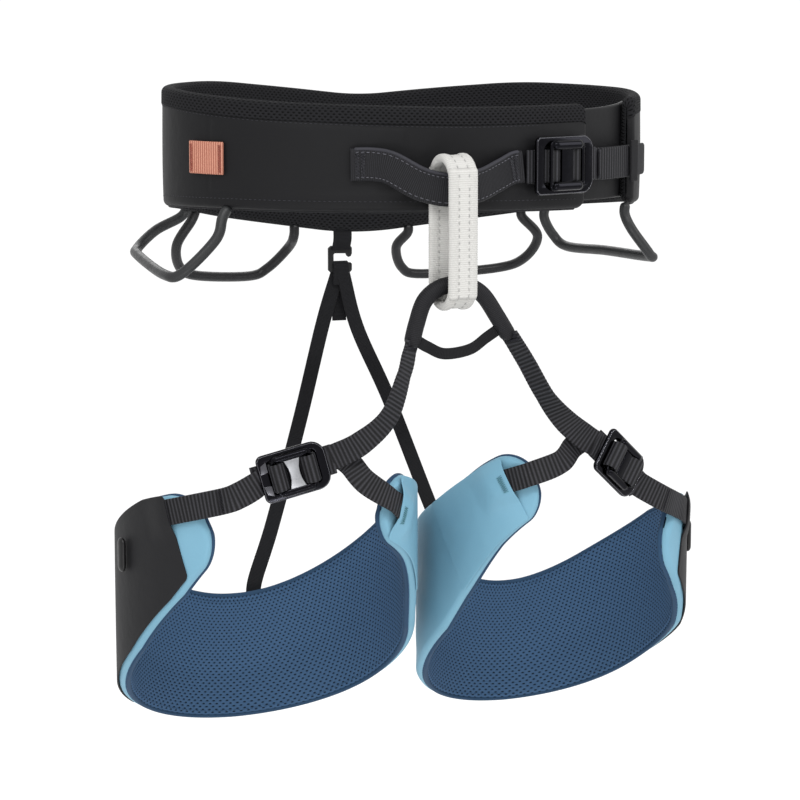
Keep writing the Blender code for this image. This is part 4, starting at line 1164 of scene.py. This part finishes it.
# Per side: the front webbing's middle line and its sideways directions, the crotch strap's free part with
# its tilt (along, rise), and the outer strap's free part with its sideways direction.
LEG_ROUTES = {
    -1: dict(front=((-32, -123.1, -99), (-34, -122.6, -107.5), (-38, -125, -120), (-49, -130, -144),
                    (-66, -127, -160), (-83, -121.5, -169)),
             turns=((1, .9, .2), (1, .9, .2), (1, .9, .1), (.9, .5, -.5), (.5, .12, -.85), (.3, 0, -.95)),
             crotch=((-77, -120, -168), (-70, -119.6, -174), (-62.5, -126, -184)), tilt=(.85, .5),
             outer=((-123.5, -115.8, -180.6), (-129, -117.6, -184), (-138, -116.5, -189),
                    (-147, -112.5, -193)), upright=(.18, .1, 1)),
    1: dict(front=((28.5, -124.8, -97), (33.5, -124.5, -104.5), (40, -127, -116), (50.5, -131, -136),
                   (64, -130, -152), (79, -127, -164), (90, -127, -171)),
            turns=((.4, -1, .2), (.4, -1, .2), (.4, -1, .25), (.45, -1.1, .4), (.6, -.6, .65),
                   (.6, -.05, .8), (.57, .2, .78)),
            crotch=((80, -122.5, -166), (72, -123, -170.5), (62, -128, -178.5)), tilt=(.65, .75),
            outer=((116.5, -112, -194), (121, -113.5, -198.5), (130, -114, -204), (139, -111.5, -209)),
            upright=(.4, .15, 1))}


def leg_webbing(side):
    """The front webbing, crotch strap and outer strap of a leg loop. The last two start free and end flat
    on the padding."""
    word = LEG_WORD[side]
    route = LEG_ROUTES[side]
    tie = dict(body=word + "_leg", slot="webbing_black")
    front = Ribbon(np.array(route["front"]) * MM, route["turns"], SOUTH)
    webbing(f"front_webbing_{word}_woven", front, 16 * MM, **LEG_STRAP, replaces=(f"front_webbing_{word}",),
            **tie)
    along, rise = route["tilt"]
    land = [leg_point(side, d, z, 7.2 * MM) for d, z in CROTCH[side]]
    bend = CROTCH[side][1][0]
    flat = leg_ahead(side, bend, bend + 1, 7 * MM) * along + UP * rise
    loose = np.array((-side * along, 0.0, rise))
    flat = flat if flat @ loose > 0 else -flat
    crotch = Ribbon(np.vstack([np.array(route["crotch"]) * MM, land]), (loose,) * 3 + (flat,) * 2, SOUTH)
    webbing(f"crotch_strap_{word}_woven", crotch, 15 * MM, **LEG_STRAP, replaces=(f"crotch_strap_{word}",),
            **tie)
    land = [leg_point(side, d, z, 5.9 * MM) for d, z in OUTER_LANDING[side]]
    sides = (route["upright"],) * 4 + ((0, 0, 1),) * 2
    strap = Ribbon(np.vstack([np.array(route["outer"]) * MM, land]), sides, SOUTH)
    webbing(f"leg_strap_{word}_woven", strap, 16 * MM, **LEG_STRAP, replaces=(f"leg_strap_{word}",), **tie)
    runs = []
    for u in (2 * MM, 5.2 * MM):
        runs += zigzag(lambda p, q: front.at(p, q, 1.2 * MM), u, 1.1 * MM, -7 * MM, 7 * MM)
    runs += zigzag(lambda p, q: strap.at(p, q, 1.2 * MM), strap.length * 0.42, 1.2 * MM, -7 * MM, 7 * MM)
    threads(f"leg_webbing_bartacks_{word}", runs, 0.26 * MM, THREAD_DARK, **tie)


def toggle(side):
    """The small moulded slider at the outer thigh: a flattened upright bar."""
    word = LEG_WORD[side]
    place = -79.0
    centre = leg_point(side, place, float(leg_middle(side, place)) + 14 * MM, 8.2 * MM)
    path = [centre + UP * z * MM for z in (-10.8, -6, 0, 6, 10.8)]
    ahead = leg_ahead(side, place - 1, place + 1, 8 * MM)
    bar(f"adjuster_toggle_{word}_moulded", path, 3.9 * MM, TRIM, 0.6 * MM, 20, squash=0.55,
        up=np.cross(UP, ahead), body=word + "_toggle", slot="plastic_black",
        replaces=(f"adjuster_toggle_{word}",))


# ---------------------------------------------------------------- riser

def riser():
    """The hook at the back on its elastic loop, and the two straps to the leg loops, each in two pieces."""
    def elastic(name, points, *sizes, **ties):
        """A flat elastic that faces the back."""
        line = Ribbon(np.array(points) * MM, (1, 0, 0), NORTH)
        webbing(name, line, *[size * MM for size in sizes[:2]], ELASTIC, *[size * MM for size in sizes[2:]],
                slot="elastic_black", **ties)

    elastic("riser_anchor_elastic", ((-8, 102, -52), (-8, 101.5, -60), (-8, 104.6, -66.2), (-8, 104.6, -68)),
            13, 1.1, 0.05, 1, body="waist", replaces=("riser_anchor_loop",))
    hook = ((-7, -10.5), (7.5, -10.5), (8.4, -9), (8.4, -5), (7.4, -4), (-3.6, -3.6), (-4.6, -2.6),
            (-4.6, 1.6), (-3.8, 2.4), (4, 2.2), (4.6, 0.6), (6, -0.4), (7.6, 0.2), (8.4, 2), (8.4, 6),
            (7.2, 7.6), (-6.6, 7.6), (-8.4, 6), (-8.4, -9))
    plate("riser_hook_moulded", [[(x * MM, y * MM) for x, y in hook]], 3 * MM, 0.9 * MM,
          np.array((-8, 108, -73)) * MM, np.array((1.0, 0, 0)), UP, TRIM, body="riser",
          slot="plastic_black", replaces=("riser_hook",))
    elastic("riser_fold_elastic", ((-8, 105.4, -92), (-8, 105.2, -80), (-8, 106.2, -77.4), (-8, 108.2, -76.4),
                                   (-8, 110.4, -77.4), (-8, 111.0, -80), (-8, 110.8, -92)),
            11, 1.2, 0.05, 1.2, body="riser")
    elastic("riser_tail_elastic", ((-8, 110.8, -84), (-8, 110.8, -100), (-8, 110, -117)), 10, 1.5, 0.06, 1.2,
            body="riser", replaces=("riser_tail",))
    straps = {-1: (((-9.5, 108.3, -84), (-21, 105.6, -118), (-41, 94, -182), (-66, 76, -250)), 170.0),
              1: (((-6.5, 105.9, -84), (3, 103.6, -122), (23, 95, -171), (47, 74, -245)), 159.0)}
    for side, (points, degrees) in straps.items():
        word = LEG_WORD[side]
        end = float(leg_middle(side, degrees)) + 41.5 * MM
        land = [leg_point(side, degrees, end + 4 * MM, 5.1 * MM) + np.array((0, 2 * MM, 0)),
                leg_point(side, degrees, end - 10 * MM, 5.1 * MM)]
        ahead = leg_ahead(side, degrees, degrees + 1, 5 * MM)
        ahead = ahead if ahead[0] > 0 else -ahead
        turn = (1.0, side * 0.1, side * 0.3)
        whole = Ribbon(np.vstack([np.array(points) * MM, land]), (turn,) * 4 + (ahead,) * 2, NORTH)
        cut = len(whole.line) // 2
        for part, span, bodies in (("upper", slice(0, cut + 1), ("riser", "waist")),
                                   ("lower", slice(cut, None), ("waist", word + "_leg"))):
            piece = whole.cut(span)
            made = webbing(f"riser_strap_{word}_{part}", piece, 10 * MM, 1.5 * MM, ELASTIC, 0.06 * MM,
                           1.2 * MM, slot="elastic_black", replaces=(f"riser_strap_{word}",))
            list(bodies)
            tuple(piece.line[0])
            tuple(piece.line[-1])
            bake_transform(made)


# ---------------------------------------------------------------- studio

def area_light(name, spot, target, size, power):
    """A rectangular light at a spot, facing the target."""
    lamp = bpy.data.lights.new(name, "AREA")
    lamp.shape = "RECTANGLE"
    lamp.size, lamp.size_y = size
    lamp.energy = power
    made = bpy.data.objects.new(name, lamp)
    bpy.context.scene.collection.objects.link(made)
    point_at(made, np.array(spot), np.array(target))


def point_at(thing, spot, target):
    """Stands a light or camera on a spot, level and facing the target."""
    ahead = (target - spot) / np.linalg.norm(target - spot)
    right = np.cross(ahead, UP)
    right /= np.linalg.norm(right)
    over = np.cross(right, ahead)
    rows = [[right[k], over[k], -ahead[k], spot[k]] for k in range(3)]
    thing.matrix_world = Matrix(rows + [[0, 0, 0, 1]])


def studio():
    """A white room with soft area lights, and a long lens a little to the left and above."""
    turn, pitch, far = math.radians(-18.0), math.radians(9.0), 1.8
    ahead = np.array((-math.sin(turn) * math.cos(pitch), math.cos(turn) * math.cos(pitch), -math.sin(pitch)))
    target = np.array((0.0, 0.0, -0.156))
    lens = bpy.data.cameras.new("camera")
    lens.lens, lens.sensor_width = 124.6, 36.0
    camera = bpy.data.objects.new("camera", lens)
    bpy.context.scene.collection.objects.link(camera)
    point_at(camera, target - far * ahead, target)
    bpy.context.scene.camera = camera
    area_light("key", (-1.1, -1.5, 1.5), (0, 0, -0.1), (1.1, 1.1), 20)
    area_light("side", (1.7, -0.9, 0.6), (0, 0, -0.1), (0.5, 1.4), 9)
    area_light("back", (0.3, 1.8, 1.0), (0, 0, -0.1), (1.4, 0.8), 8)
    area_light("strip", (0.1, -1.5, 1.3), (0, 0, -0.1), (1.2, 0.05), 16)
    area_light("low_strip", (-0.5, -1.8, -0.9), (0, 0, -0.1), (1.0, 0.05), 6)
    world = bpy.data.worlds.new("studio")
    world.use_nodes = True
    world.node_tree.nodes["Background"].inputs[0].default_value = (1, 1, 1, 1)
    world.node_tree.nodes["Background"].inputs[1].default_value = 1.05
    bpy.context.scene.world = world
    mesh = bpy.data.meshes.new("floor")
    mesh.from_pydata([(-6, -6, -1.0), (6, -6, -1.0), (6, 6, -1.0), (-6, 6, -1.0)], [], [(0, 1, 2, 3)])
    floor = bpy.data.objects.new("floor", mesh)
    bpy.context.scene.collection.objects.link(floor)
    paper = new_material("paper_white_matte", Base_Color=(0.99, 0.99, 0.99, 1), Roughness=0.9)[0]
    mesh.materials.append(paper)
    bpy.context.scene.view_settings.view_transform = "Standard"


waist_belt()
tie_in()
belay()
lower_tie_in()
gear_loops()
waist_fastening()
# Per side: the leg buckle's centre, its two directions and its middle bar's width.
LEG_BUCKLES = {-1: ((-106, -121, -176), (0.9558, -0.1394, 0.2589), (-0.2562, 0.0374, 0.9659), 8.0),
               1: ((104, -122, -183), (0.6986, 0.3593, -0.6188), (0.5503, 0.283, 0.7856), 6.0)}
for leg in (-1, 1):
    leg_padding(leg)
    leg_panels(leg)
    leg_webbing(leg)
    toggle(leg)
    leg_word, (*place, bar_width) = LEG_WORD[leg], LEG_BUCKLES[leg]
    buckle("leg_buckle_" + leg_word, leg_word + "_leg", leg_word + "_slider", *place, 42, 30, 17, bar_width,
           tone=leg < 0)
riser()
studio()
